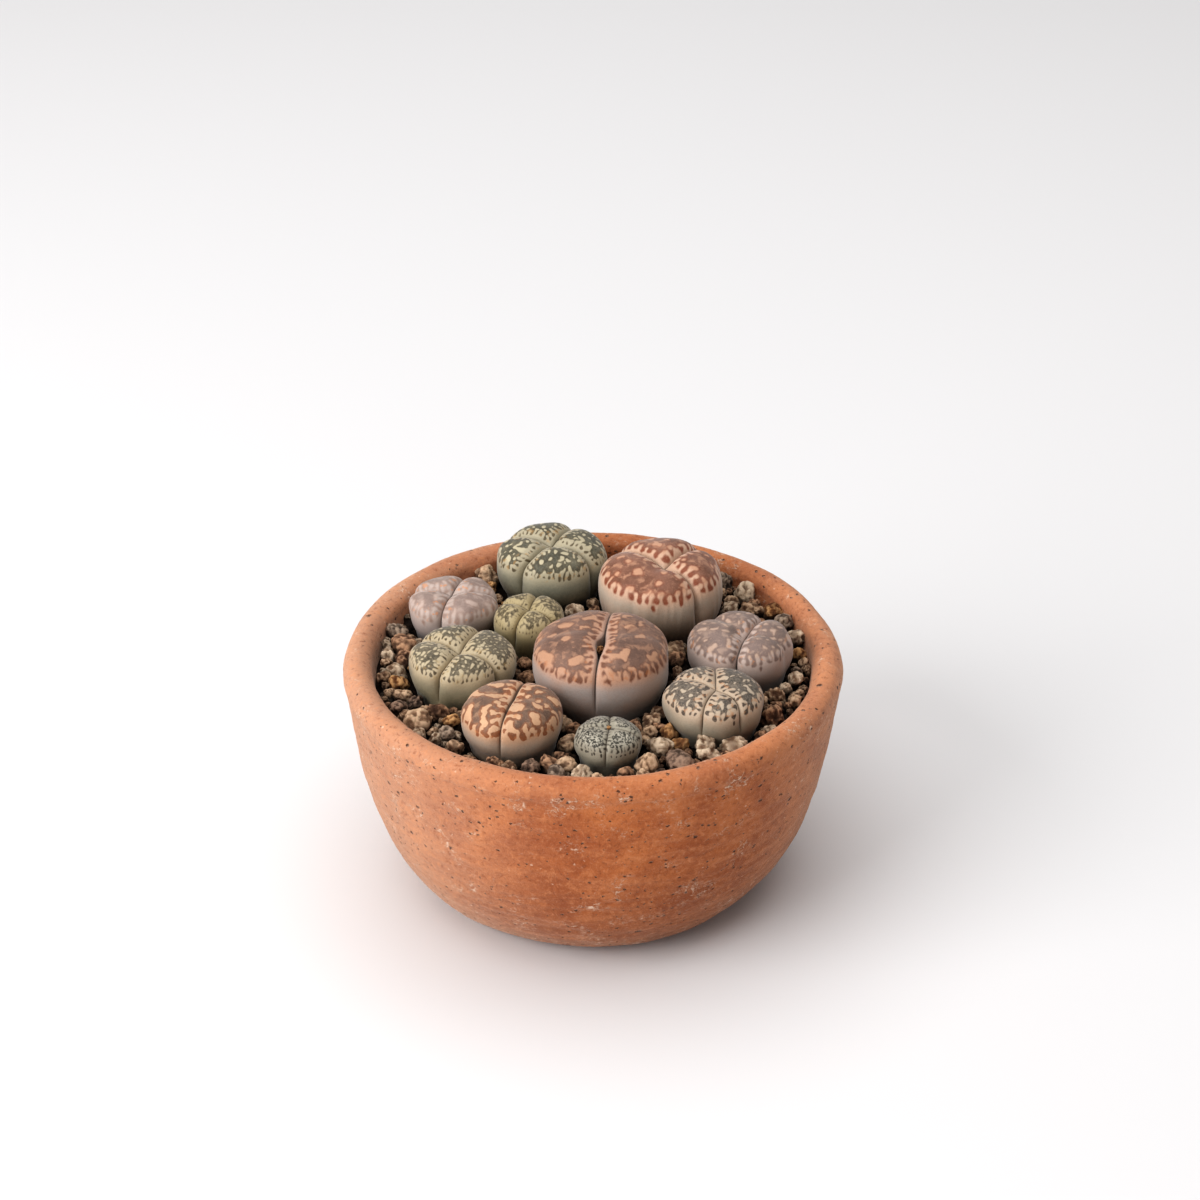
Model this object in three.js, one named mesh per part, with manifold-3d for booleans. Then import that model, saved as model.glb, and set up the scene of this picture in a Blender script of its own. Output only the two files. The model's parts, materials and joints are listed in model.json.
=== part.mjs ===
// Potted lithops: a thrown terracotta bowl filled with a gritty mix and dressed
// with loose grit stones, in which ten "living stone" succulents stand.
//
// Units are millimetres and +Z is up. The origin is the centre of the pot's
// flat base, so the bowl stands on z = 0 and is centred on the Z axis.

import * as THREE from 'three';
import { mergeVertices } from 'three/addons/utils/BufferGeometryUtils.js';
import Module from 'manifold-3d';

const wasm = await Module();
wasm.setup();

const TAU = Math.PI * 2;

// ---------------------------------------------------------------- dimensions

const CLEARANCE = 0.35; // between each piece and its neighbour

const POT = {
  outerRadius: 75, // over the rounded lip
  height: 75,
  lipRadius: 4.4, // of the lip's round section
  lipOverhang: 0.3, // how far the lip stands proud of the wall
  draft: 0.135, // lean of the wall, per millimetre of depth
  belly: 16.1, // how far the wall has drawn in at the base
  bellyPower: 4.3, // how late it draws in
  floor: 8,
  footRadius: 42, // of the flat base
  footRise: 4.5, // height of the rounded edge round the base
  floorRadius: 36, // of the flat floor inside
  holeRadius: 6,
  sides: 48,
};
const LIP_HEIGHT = POT.height - POT.lipRadius; // centre of the lip's section
const LIP_CENTRE = POT.outerRadius - POT.lipRadius;

const CROCK = { radius: 13, thickness: 3.5, rise: 2.2, sides: 7 };

const MIX_TOP = 60.5; // the top dressing starts here
const BED_TOP = 67.6; // solid part of the top dressing
const GRIT_LEVEL = 69.5; // mean height of the grit stones' tops

const GRIT = {
  seed: 41,
  tries: 6000,
  smallest: 3.4, // stone radius, larger than life
  largest: 5,
  spacing: 0.66, // of the sum of two stones' radii
  sink: 0.12, // how far a stone's centre lies above the bed, of its radius
};

// How every lithops body runs, relative to its own half width and height.
const BODY = {
  squareness: 2.8, // exponent of the dome's superellipse
  girth: 0.42, // height of the widest place
  foot: 0.88, // width where it enters the grit
  neckDepth: 13, // depth at which the buried body has shrunk to its neck
  neckWidth: 0.3,
  rootDepth: 27,
  rootRadius: 0.9,
};

// The planting plan. Places and sizes are of each head as seen from above, height
// is above the grit, and creases are the azimuths of the clefts between lobes,
// counted from +X. A number after an azimuth is how strong that cleft is, where 1
// is a full cleft and less is a soft fold. middle is where the clefts meet.
const PLANTS = [
  {
    name: 'lithops_back_green', colour: 0x9c9f86,
    x: -12.9, y: 47.7, halfWidth: 17.4, halfDepth: 16.9, height: 17, foot: 0.85,
    creases: [[62], [154], [231], [325]], middle: [0, -0.6],
  },
  {
    name: 'lithops_back_red', colour: 0xb59383,
    x: 20.9, y: 31.8, halfWidth: 19.2, halfDepth: 20.2, height: 19.8, foot: 0.9,
    creases: [[50], [134], [235, 0.3], [310]], middle: [1, -3],
  },
  {
    name: 'lithops_left_mauve', colour: 0xa7958f,
    x: -42.5, y: 24.9, halfWidth: 14, halfDepth: 13.6, height: 12.3,
    creases: [[5], [73], [165], [255]], middle: [-0.8, -0.4],
  },
  {
    name: 'lithops_small_olive', colour: 0x9d9371,
    x: -19.3, y: 15.2, halfWidth: 10.8, halfDepth: 11.2, height: 12.6,
    creases: [[76], [149], [243], [325]], middle: [0, -0.8],
  },
  {
    name: 'lithops_left_green', colour: 0x989376,
    x: -38.8, y: -8.9, halfWidth: 16, halfDepth: 16.1, height: 13.7,
    creases: [[69], [145], [241], [325]], middle: [-0.6, -2.2],
  },
  {
    name: 'lithops_centre_brown', colour: 0xb08f7f,
    x: 2.5, y: -12.1, halfWidth: 20.8, halfDepth: 20.1, height: 19.5,
    creases: [[82], [175, 0.3], [262], [358, 0.3]], middle: [-0.2, 0],
  },
  {
    name: 'lithops_right_mauve', colour: 0x96867f,
    x: 44.2, y: -1.1, halfWidth: 15.8, halfDepth: 15, height: 14.2,
    creases: [[61], [128, 0.8], [257], [340, 0.7]], middle: [1.2, -1.2],
  },
  {
    name: 'lithops_front_grey', colour: 0xb5a98f,
    x: 35.3, y: -30, halfWidth: 14.7, halfDepth: 14.5, height: 12.7,
    creases: [[89], [148], [250], [305], [355, 0.5]], middle: [0.5, -1.8],
  },
  {
    name: 'lithops_front_orange', colour: 0xc09a80,
    x: -23.1, y: -39.4, halfWidth: 14.8, halfDepth: 14.4, height: 13.9,
    creases: [[75], [165, 0.4], [254], [350, 0.4]], middle: [0.4, 0],
  },
  {
    name: 'lithops_front_small', colour: 0x8d8d7c,
    x: 4.6, y: -48.4, halfWidth: 9.8, halfDepth: 9.5, height: 9,
    creases: [[87], [170, 0.7], [264], [345, 0.7]], middle: [0.2, 0],
  },
];
const CLEFT = { depth: 0.2, width: 0.4 }; // of a head's half width
const LOBE_COLUMNS = [0, 0.13, 0.37, 0.63, 0.87]; // places of the grid lines across a lobe
const DOME_RINGS = [0.14, 0.32, 0.5, 0.66, 0.83, 1]; // of the quarter turn from apex to girth
const SIDE_RINGS = [0.5, 1]; // of the way from the girth to the grit

// ------------------------------------------------------------ solid modelling

/** Positions only, shared vertices merged, faces turned outwards. */
function closedBody(geometry) {
  const bare = geometry.clone();
  bare.deleteAttribute('normal');
  bare.deleteAttribute('uv');
  const merged = mergeVertices(bare, 1e-4);
  const points = merged.attributes.position;
  const corner = [new THREE.Vector3(), new THREE.Vector3(), new THREE.Vector3()];
  const kept = [];
  let volume = 0;
  for (let i = 0; i < merged.index.count; i += 3) {
    const face = [0, 1, 2].map((k) => merged.index.getX(i + k));
    if (new Set(face).size < 3) continue;
    face.forEach((index, k) => corner[k].fromBufferAttribute(points, index));
    volume += corner[0].dot(corner[1].cross(corner[2]));
    kept.push(face);
  }
  merged.setIndex(kept.flatMap((face) => (volume < 0 ? face.reverse() : face)));
  return merged;
}

/** A closed geometry as a solid that can be joined and cut. */
function toSolid(geometry) {
  const body = closedBody(geometry);
  return new wasm.Manifold(new wasm.Mesh({
    numProp: 3,
    vertProperties: new Float32Array(body.attributes.position.array),
    triVerts: new Uint32Array(body.index.array),
  }));
}

/** A joined or cut solid as a geometry. */
function toGeometry(solid) {
  const mesh = solid.getMesh();
  const geometry = new THREE.BufferGeometry();
  geometry.setAttribute('position', new THREE.BufferAttribute(mesh.vertProperties, 3));
  geometry.setIndex(new THREE.BufferAttribute(mesh.triVerts, 1));
  return geometry;
}

/** The largest of a solid's separate bodies, without the loose scraps of a cut. */
function largestBody(solid) {
  return solid.decompose().reduce((best, body) => (body.volume() > best.volume() ? body : best));
}

/** Turns a profile of [radius, height] points about the Z axis. */
function turned(profile) {
  const points = profile.map(([radius, height]) => new THREE.Vector2(radius, height));
  return closedBody(new THREE.LatheGeometry(points, POT.sides).rotateX(Math.PI / 2));
}

/** A closed skin over rings of equal length, from a first point to a last one. */
function skin(first, rings, last) {
  const columns = rings[0].length;
  const positions = [...first, ...rings.flat(2), ...last];
  const index = [];
  const at = (ring, column) => 1 + ring * columns + (column % columns);
  const end = 1 + rings.length * columns;
  for (let c = 0; c < columns; c++) {
    index.push(0, at(0, c), at(0, c + 1));
    for (let r = 0; r + 1 < rings.length; r++) {
      index.push(at(r, c), at(r + 1, c), at(r + 1, c + 1));
      index.push(at(r, c), at(r + 1, c + 1), at(r, c + 1));
    }
    index.push(at(rings.length - 1, c), end, at(rings.length - 1, c + 1));
  }
  const geometry = new THREE.BufferGeometry();
  geometry.setAttribute('position', new THREE.Float32BufferAttribute(positions, 3));
  geometry.setIndex(index);
  return closedBody(geometry);
}

/** A repeatable stream of random numbers from 0 to 1. */
function seededRandom(seed) {
  let state = seed >>> 0;
  return () => {
    state = (state + 0x6d2b79f5) >>> 0;
    let mixed = Math.imul(state ^ (state >>> 15), 1 | state);
    mixed = (mixed + Math.imul(mixed ^ (mixed >>> 7), 61 | mixed)) ^ mixed;
    return ((mixed ^ (mixed >>> 14)) >>> 0) / 4294967296;
  };
}

// ----------------------------------------------------------------------- pot

/** Outside radius of the bowl's wall at a height above the base. */
function wallRadius(height) {
  const depth = LIP_HEIGHT - height;
  const top = POT.outerRadius - POT.lipOverhang;
  return top - POT.draft * depth - POT.belly * (depth / LIP_HEIGHT) ** POT.bellyPower;
}

/** Inside radius of the bowl at a height, above the rounded edge of its floor. */
function insideRadius(height) {
  const depth = LIP_HEIGHT - height;
  const reach = LIP_HEIGHT - POT.floor;
  const top = LIP_CENTRE - POT.lipRadius;
  return top - POT.draft * depth - POT.belly * (depth / reach) ** POT.bellyPower;
}

/** Points on a curve that leaves one point and meets another, pulled to a corner. */
function rounded(from, corner, to, steps) {
  const curve = new THREE.QuadraticBezierCurve(
    new THREE.Vector2(...from), new THREE.Vector2(...corner), new THREE.Vector2(...to));
  return curve.getPoints(steps).map((point) => [point.x, point.y]);
}

const INSIDE_HEIGHTS = [14, 27, MIX_TOP];

/** The inside of the bowl, from the middle of its floor up, drawn in by a gap. */
function insideProfile(gap, top) {
  const lowest = INSIDE_HEIGHTS[0];
  const edge = rounded(
    [POT.floorRadius, POT.floor], [insideRadius(lowest) - 4, POT.floor],
    [insideRadius(lowest), lowest], 3);
  const walls = INSIDE_HEIGHTS.slice(1).filter((height) => height < top).concat(top);
  const points = [...edge, ...walls.map((height) => [insideRadius(height), height])];
  return points.map(([radius, height]) => [radius - gap, Math.min(top, height + gap)]);
}

function potGeometry() {
  const foot = rounded(
    [POT.footRadius, 0], [wallRadius(0) - 1.5, 0],
    [wallRadius(POT.footRise), POT.footRise], 4);
  const wall = [9, 15.5, 24, 36, 51, 66].map((height) => [wallRadius(height), height]);
  const lip = [];
  for (const turn of [-20, 0, 30, 60, 90, 120, 150, 180]) {
    const angle = THREE.MathUtils.degToRad(turn);
    lip.push([
      LIP_CENTRE + POT.lipRadius * Math.cos(angle), LIP_HEIGHT + POT.lipRadius * Math.sin(angle)]);
  }
  const inside = insideProfile(0, MIX_TOP).reverse();
  const hole = [[POT.holeRadius, POT.floor], [POT.holeRadius, 0]];
  const start = [POT.holeRadius, 0];
  return turned([start, ...foot, ...wall, ...lip, ...inside, ...hole]);
}

// --------------------------------------------------------------------- crock

/** A rough-edged potsherd, arched over the drainage hole. */
function crockGeometry(grow) {
  const base = POT.floor + CLEARANCE;
  const outline = new THREE.Shape();
  for (let i = 0; i < CROCK.sides; i++) {
    const angle = (i * TAU) / CROCK.sides;
    const radius = CROCK.radius * (1 + 0.12 * Math.sin(2.4 * i)) + grow;
    const point = [radius * Math.cos(angle), radius * Math.sin(angle)];
    if (i === 0) outline.moveTo(...point);
    else outline.lineTo(...point);
  }
  const height = CROCK.thickness + grow;
  const shard = toSolid(new THREE.ExtrudeGeometry(outline, { depth: height, bevelEnabled: false })
    .translate(0, 0, base));
  if (grow > 0) return toGeometry(shard);
  const span = CROCK.radius * 0.7;
  const bend = (span * span + CROCK.rise * CROCK.rise) / (2 * CROCK.rise);
  const arch = toSolid(new THREE.CylinderGeometry(bend, bend, CROCK.radius * 4, 96)
    .translate(bend - CROCK.rise, 0, 0)
    .rotateY(Math.PI / 2)
    .translate(0, 0, base));
  return toGeometry(shard.subtract(arch));
}

// ------------------------------------------------------------------- lithops

/** Height of a lobe's cushion beside a cleft: 0 in the cleft, 1 a full width away. */
function cushion(distance) {
  const rest = 1 - Math.min(1, Math.max(0, distance));
  return Math.sqrt(1 - rest * rest);
}

/** Where a ray from the middle of the clefts crosses the head's oval outline. */
function outlineAngle(plant, azimuth) {
  const [mx, my] = plant.middle;
  const dx = Math.cos(azimuth);
  const dy = Math.sin(azimuth);
  const a = (dx / plant.halfWidth) ** 2 + (dy / plant.halfDepth) ** 2;
  const b = (mx * dx) / plant.halfWidth ** 2 + (my * dy) / plant.halfDepth ** 2;
  const c = (mx / plant.halfWidth) ** 2 + (my / plant.halfDepth) ** 2 - 1;
  const reach = (-b + Math.sqrt(b * b - a * c)) / a;
  return Math.atan2((my + reach * dy) / plant.halfDepth, (mx + reach * dx) / plant.halfWidth);
}

/** Oval angles of the grid lines of a head, closer together beside the clefts. */
function columnAngles(plant) {
  const clefts = plant.creases.map(([azimuth]) => (
    outlineAngle(plant, THREE.MathUtils.degToRad(azimuth))));
  return clefts.flatMap((angle, i) => {
    const next = clefts[(i + 1) % clefts.length];
    const span = THREE.MathUtils.euclideanModulo(next - angle, TAU);
    return LOBE_COLUMNS.map((place) => angle + span * place);
  });
}

/** Share of the full cushion height that the clefts leave at a place of the head. */
function lobeHeight(plant, x, y) {
  const dx = x - plant.middle[0];
  const dy = y - plant.middle[1];
  return plant.creases.reduce((height, [degrees, strength = 1]) => {
    const azimuth = THREE.MathUtils.degToRad(degrees);
    const along = dx * Math.cos(azimuth) + dy * Math.sin(azimuth);
    const across = Math.abs(dy * Math.cos(azimuth) - dx * Math.sin(azimuth));
    const distance = along > 0 ? across : Math.hypot(dx, dy);
    const low = 1 - cushion(distance / (CLEFT.width * plant.halfWidth));
    return height * (1 - strength * low);
  }, 1);
}

/** A point of the head: reach runs from 0 at the middle to 1 at the girth. */
function headPoint(plant, angle, reach, height) {
  const [mx, my] = plant.middle;
  const x = mx + reach * (plant.halfWidth * Math.cos(angle) - mx);
  const y = my + reach * (plant.halfDepth * Math.sin(angle) - my);
  const power = BODY.squareness - 1;
  const above = Math.max(0, (height / plant.height - BODY.girth) / (1 - BODY.girth));
  const outwards = new THREE.Vector3(
    (Math.cos(angle) * reach ** power) / plant.halfWidth,
    (Math.sin(angle) * reach ** power) / plant.halfDepth,
    above ** power / plant.height).normalize();
  const fade = Math.min(1, Math.max(0, height / (BODY.girth * plant.height))) ** 0.7;
  const sunk = CLEFT.depth * plant.halfWidth * (1 - lobeHeight(plant, x, y)) * fade;
  return new THREE.Vector3(x, y, height).addScaledVector(outwards, -sunk).toArray();
}

/** Rings of the buried body, neck and root, as [share of the girth, depth] pairs. */
function buriedRings(plant) {
  const foot = plant.foot ?? BODY.foot;
  const root = BODY.rootRadius / plant.halfWidth;
  return [
    [foot * 0.78 + BODY.neckWidth * 0.22, -0.45 * BODY.neckDepth],
    [BODY.neckWidth, -BODY.neckDepth],
    [root, -BODY.rootDepth + 1],
  ];
}

function lithopsGeometry(plant) {
  const angles = columnAngles(plant);
  const girth = BODY.girth * plant.height;
  const foot = plant.foot ?? BODY.foot;
  const rings = DOME_RINGS.map((turn) => {
    const angle = (turn * Math.PI) / 2;
    const reach = Math.sin(angle) ** (2 / BODY.squareness);
    const rise = Math.max(0, Math.cos(angle)) ** (2 / BODY.squareness);
    return [reach, girth + (plant.height - girth) * rise];
  });
  SIDE_RINGS.forEach((way) => rings.push([1 - (1 - foot) * way * way, girth * (1 - way)]));
  const skinRings = [...rings, ...buriedRings(plant)].map(([reach, height]) => (
    angles.map((angle) => headPoint(plant, angle, reach, height))));
  const apex = headPoint(plant, 0, 0, plant.height);
  return skin(apex, skinRings, [...plant.middle, -BODY.rootDepth]);
}

/** The plain hole a plant stands in: its own outline grown by a gap. */
function holeSolid(plant, gap) {
  const angles = columnAngles(plant);
  const girth = BODY.girth * plant.height;
  const foot = plant.foot ?? BODY.foot;
  const ring = ([reach, height]) => angles.map((angle) => {
    const point = new THREE.Vector2(
      plant.halfWidth * Math.cos(angle), plant.halfDepth * Math.sin(angle)).multiplyScalar(reach);
    const [mx, my] = plant.middle;
    point.set(point.x + (1 - reach) * mx, point.y + (1 - reach) * my);
    point.addScaledVector(new THREE.Vector2(Math.cos(angle), Math.sin(angle)), gap);
    return [point.x, point.y, height];
  });
  const profile = [
    [1, plant.height + 4], [1, girth],
    ...SIDE_RINGS.map((way) => [1 - (1 - foot) * way * way, girth * (1 - way)]),
    ...buriedRings(plant).map(([reach, depth]) => [reach, depth - gap]),
  ];
  const top = [...plant.middle, plant.height + 4];
  const hole = skin(top, profile.map(ring), [...plant.middle, -BODY.rootDepth - gap]);
  return toSolid(hole.translate(plant.x, plant.y, GRIT_LEVEL));
}

// ----------------------------------------------------------- mix and dressing

function mixGeometry() {
  const profile = insideProfile(CLEARANCE, MIX_TOP);
  const base = profile[0][1];
  const top = profile.at(-1)[1];
  let mix = toSolid(turned([[0, base], ...profile, [0, top]]));
  mix = mix.subtract(toSolid(crockGeometry(CLEARANCE)));
  for (const plant of PLANTS) mix = mix.subtract(holeSolid(plant, CLEARANCE));
  return toGeometry(mix);
}

/** How far a place lies outside a plant's outline, as a share of that outline. */
function outside(plant, x, y) {
  return Math.hypot((x - plant.x) / plant.halfWidth, (y - plant.y) / plant.halfDepth) - 1;
}

/** Seeded places and sizes of the grit stones, clear of the heads and the wall. */
function gritStones() {
  const random = seededRandom(GRIT.seed);
  const wall = insideRadius(BED_TOP) - CLEARANCE;
  const stones = [];
  for (let i = 0; i < GRIT.tries; i++) {
    const radius = GRIT.smallest + (GRIT.largest - GRIT.smallest) * random() ** 2;
    const angle = random() * TAU;
    const reach = (wall - radius * 1.1) * Math.sqrt(random());
    const stone = { x: reach * Math.cos(angle), y: reach * Math.sin(angle), radius, turn: random() };
    const free = PLANTS.every((plant) => (
      outside(plant, stone.x, stone.y) * plant.halfWidth > radius * 0.5));
    const apart = stones.every((other) => (
      Math.hypot(stone.x - other.x, stone.y - other.y) > GRIT.spacing * (radius + other.radius)));
    if (free && apart) stones.push(stone);
  }
  return stones;
}

/** One lumpy, few-sided grit stone. */
function stoneGeometry(stone) {
  const geometry = closedBody(new THREE.IcosahedronGeometry(stone.radius, 0));
  const random = seededRandom(Math.floor(stone.turn * 1e6));
  const points = geometry.attributes.position;
  const point = new THREE.Vector3();
  for (let i = 0; i < points.count; i++) {
    point.fromBufferAttribute(points, i).multiplyScalar(0.86 + 0.26 * random());
    points.setXYZ(i, point.x, point.y, point.z);
  }
  return geometry
    .scale(1, 0.88, 0.92)
    .rotateZ(stone.turn * TAU)
    .translate(stone.x, stone.y, BED_TOP + GRIT.sink * stone.radius);
}

function dressingGeometry() {
  const base = MIX_TOP + CLEARANCE;
  const wall = (height) => [insideRadius(height) - CLEARANCE, height];
  let dressing = toSolid(turned([[0, base], wall(base), wall(BED_TOP), [0, BED_TOP]]));
  dressing = wasm.Manifold.union([
    dressing, ...gritStones().map((stone) => toSolid(stoneGeometry(stone)))]);
  const holes = PLANTS.map((plant) => holeSolid(plant, CLEARANCE));
  return toGeometry(largestBody(dressing.subtract(wasm.Manifold.union(holes))));
}

// ------------------------------------------------------------------ assembly

/** A named piece with its own finish. */
function piece(name, geometry, color, roughness) {
  const material = new THREE.MeshStandardMaterial({ color, roughness, metalness: 0 });
  const mesh = new THREE.Mesh(geometry, material);
  mesh.name = name;
  return mesh;
}

const model = new THREE.Group();
model.add(piece('pot', potGeometry(), 0xc87850, 0.88));
model.add(piece('drainage_crock', crockGeometry(0), 0xb06a48, 0.9));
model.add(piece('potting_mix', mixGeometry(), 0x5a4638, 0.95));
model.add(piece('grit_top_dressing', dressingGeometry(), 0xa08060, 0.92));
for (const plant of PLANTS) {
  const head = piece(plant.name, lithopsGeometry(plant), plant.colour, 0.62);
  head.position.set(plant.x, plant.y, GRIT_LEVEL);
  model.add(head);
}

export default model;
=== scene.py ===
"""Looks of the potted lithops: a terracotta bowl of living stones set in loose grit.

Lengths in the classes are millimetres, as in the part's own frame, and become metres
where a mesh is made. +Z is up, and the bowl stands on z = 0, centred on the Z axis.
"""

import json
import logging
import math
from dataclasses import dataclass
from enum import Enum
from typing import Any, Iterable, Protocol, Sequence

import bpy
import numpy as np
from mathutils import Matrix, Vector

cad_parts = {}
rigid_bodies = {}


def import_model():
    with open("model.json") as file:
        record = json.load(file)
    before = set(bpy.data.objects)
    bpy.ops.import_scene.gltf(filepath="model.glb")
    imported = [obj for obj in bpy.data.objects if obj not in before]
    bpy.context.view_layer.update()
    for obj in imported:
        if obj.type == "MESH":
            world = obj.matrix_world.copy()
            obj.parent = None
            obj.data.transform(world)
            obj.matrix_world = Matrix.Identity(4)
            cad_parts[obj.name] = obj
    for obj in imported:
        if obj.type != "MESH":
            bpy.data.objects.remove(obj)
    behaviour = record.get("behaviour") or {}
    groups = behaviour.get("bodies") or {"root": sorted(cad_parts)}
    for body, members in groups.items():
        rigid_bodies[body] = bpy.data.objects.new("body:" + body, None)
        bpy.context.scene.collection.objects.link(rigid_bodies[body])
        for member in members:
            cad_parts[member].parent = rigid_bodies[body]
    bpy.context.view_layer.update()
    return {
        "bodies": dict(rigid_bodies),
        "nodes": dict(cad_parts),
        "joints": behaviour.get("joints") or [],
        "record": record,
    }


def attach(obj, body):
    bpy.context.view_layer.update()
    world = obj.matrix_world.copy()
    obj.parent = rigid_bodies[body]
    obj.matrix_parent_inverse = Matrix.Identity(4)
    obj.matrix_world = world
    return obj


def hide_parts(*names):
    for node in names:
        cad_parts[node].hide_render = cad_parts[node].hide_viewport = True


LOG = logging.getLogger("potted_lithops")
MM = 0.001
TAU = 2 * math.pi
BODY = "root"
Colour = tuple[float, float, float, float]


# ------------------------------------------------------------------ small helpers


def srgb(red: float, green: float, blue: float) -> Colour:
    """A colour given in screen values of 0 to 255, in linear light.

    Args:
        red: red value.
        green: green value.
        blue: blue value.

    Returns:
        The linear colour with full alpha.
    """

    def linear(value: float) -> float:
        """One channel in linear light."""
        share = value / 255
        return share / 12.92 if share <= 0.04045 else ((share + 0.055) / 1.055) ** 2.4

    return linear(red), linear(green), linear(blue), 1.0


def smooth(values: np.ndarray, low: float, high: float) -> np.ndarray:
    """A soft step of an array from 0 at low to 1 at high."""
    share = np.clip((values - low) / (high - low), 0, 1)
    return share * share * (3 - 2 * share)


class Ripple:
    """Soft seeded unevenness: a sum of cosine waves in many directions."""

    def __init__(self, seed: int, wavelength: float, waves: int = 24) -> None:
        """Draws the waves.

        Args:
            seed: picks the pattern.
            wavelength: typical size of a bump, in millimetres.
            waves: how many waves are summed.
        """
        draw = np.random.default_rng(seed)
        ways = draw.normal(size=(waves, 3))
        ways /= np.linalg.norm(ways, axis=1, keepdims=True)
        self.waves = ways * (TAU / wavelength) * draw.uniform(0.6, 1.5, (waves, 1))
        self.phases = draw.uniform(0, TAU, waves)
        self.share = math.sqrt(2 / waves)

    def at(self, points: np.ndarray) -> np.ndarray:
        """The unevenness at points, about -1 to 1 and mostly near 0."""
        return np.cos(points @ self.waves.T + self.phases).sum(-1) * self.share / 1.6


def add_mesh(name: str, points: np.ndarray, faces: Iterable[np.ndarray],
             fields: dict[str, np.ndarray] | None = None) -> bpy.types.Object:
    """Makes a smooth mesh object that rides on the part.

    Args:
        name: name of the object.
        points: corners in millimetres, one row each.
        faces: arrays of corner numbers, one row for each face.
        fields: values for each corner, as numbers or vectors, for the material to read.

    Returns:
        The new object.
    """
    arrays = [np.asarray(block, np.int32) for block in faces if len(block)]
    loops = np.concatenate([block.ravel() for block in arrays])
    sizes = np.concatenate([np.full(len(block), block.shape[1], np.int32) for block in arrays])
    mesh = bpy.data.meshes.new(name)
    mesh.vertices.add(len(points))
    mesh.vertices.foreach_set("co", (np.asarray(points, np.float32) * MM).ravel())
    mesh.loops.add(len(loops))
    mesh.loops.foreach_set("vertex_index", loops)
    mesh.polygons.add(len(sizes))
    mesh.polygons.foreach_set("loop_start", np.concatenate([[0], np.cumsum(sizes)[:-1]]))
    mesh.polygons.foreach_set("loop_total", sizes)
    mesh.polygons.foreach_set("use_smooth", np.ones(len(sizes), bool))
    mesh.update(calc_edges=True)
    for key, values in (fields or {}).items():
        vector = values.ndim == 2
        layer = mesh.attributes.new(key, "FLOAT_VECTOR" if vector else "FLOAT", "POINT")
        layer.data.foreach_set("vector" if vector else "value",
                               np.asarray(values, np.float32).ravel())
    piece = bpy.data.objects.new(name, mesh)
    bpy.context.scene.collection.objects.link(piece)
    return piece


def ring_faces(rows: int, columns: int, start: int = 0, wrap: bool = False) -> np.ndarray:
    """Faces between rings of corners that each close on themselves.

    Args:
        rows: how many rings there are.
        columns: corners in each ring.
        start: number of the first corner.
        wrap: whether the last ring joins the first.

    Returns:
        Corner numbers, one row of four for each face.
    """
    row, column = np.meshgrid(np.arange(rows if wrap else rows - 1), np.arange(columns),
                              indexing="ij")
    after = (column + 1) % columns
    below = (row + 1) % rows
    return start + np.stack([row * columns + column, row * columns + after,
                             below * columns + after, below * columns + column],
                            -1).reshape(-1, 4)


def fan_faces(tip: int, ring_start: int, columns: int, flip: bool) -> np.ndarray:
    """Triangles from one corner to a ring of corners."""
    column = np.arange(columns)
    after = (column + 1) % columns
    first, second = (after, column) if flip else (column, after)
    return np.stack([np.full(columns, tip), ring_start + first, ring_start + second], -1)


def capped_faces(rows: int, columns: int) -> list[np.ndarray]:
    """Faces of a closed skin: a top corner, rings from there down, and a bottom corner."""
    return [fan_faces(0, 1, columns, False), ring_faces(rows, columns, 1)[:, ::-1],
            fan_faces(1 + rows * columns, 1 + (rows - 1) * columns, columns, True)]


def pairs(radii: "np.ndarray | float", heights: "np.ndarray | float") -> np.ndarray:
    """Points of a section from their radii and heights, either of which may be one number."""
    return np.stack(np.broadcast_arrays(radii, heights), -1)


def rounded(start: tuple[float, float], corner: tuple[float, float],
            end: tuple[float, float]) -> np.ndarray:
    """Points of a section from start to end, round a corner that they don't reach."""
    way = np.linspace(0, 1, 16)[:, None]
    return (1 - way) ** 2 * start + 2 * way * (1 - way) * corner + way ** 2 * end


class Finish(Protocol):
    """Anything that makes a material."""

    def build(self) -> bpy.types.Material:
        """Makes the material."""


def dress_piece(piece: bpy.types.Object, finish: Finish, node: str) -> None:
    """Gives a piece its finish and its place in the part.

    Args:
        piece: the piece.
        finish: its finish.
        node: the solid that it replaces.
    """
    piece.data.materials.append(finish.build())
    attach(piece, BODY)
    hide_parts(node)


# --------------------------------------------------------------------- shader kit


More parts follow.
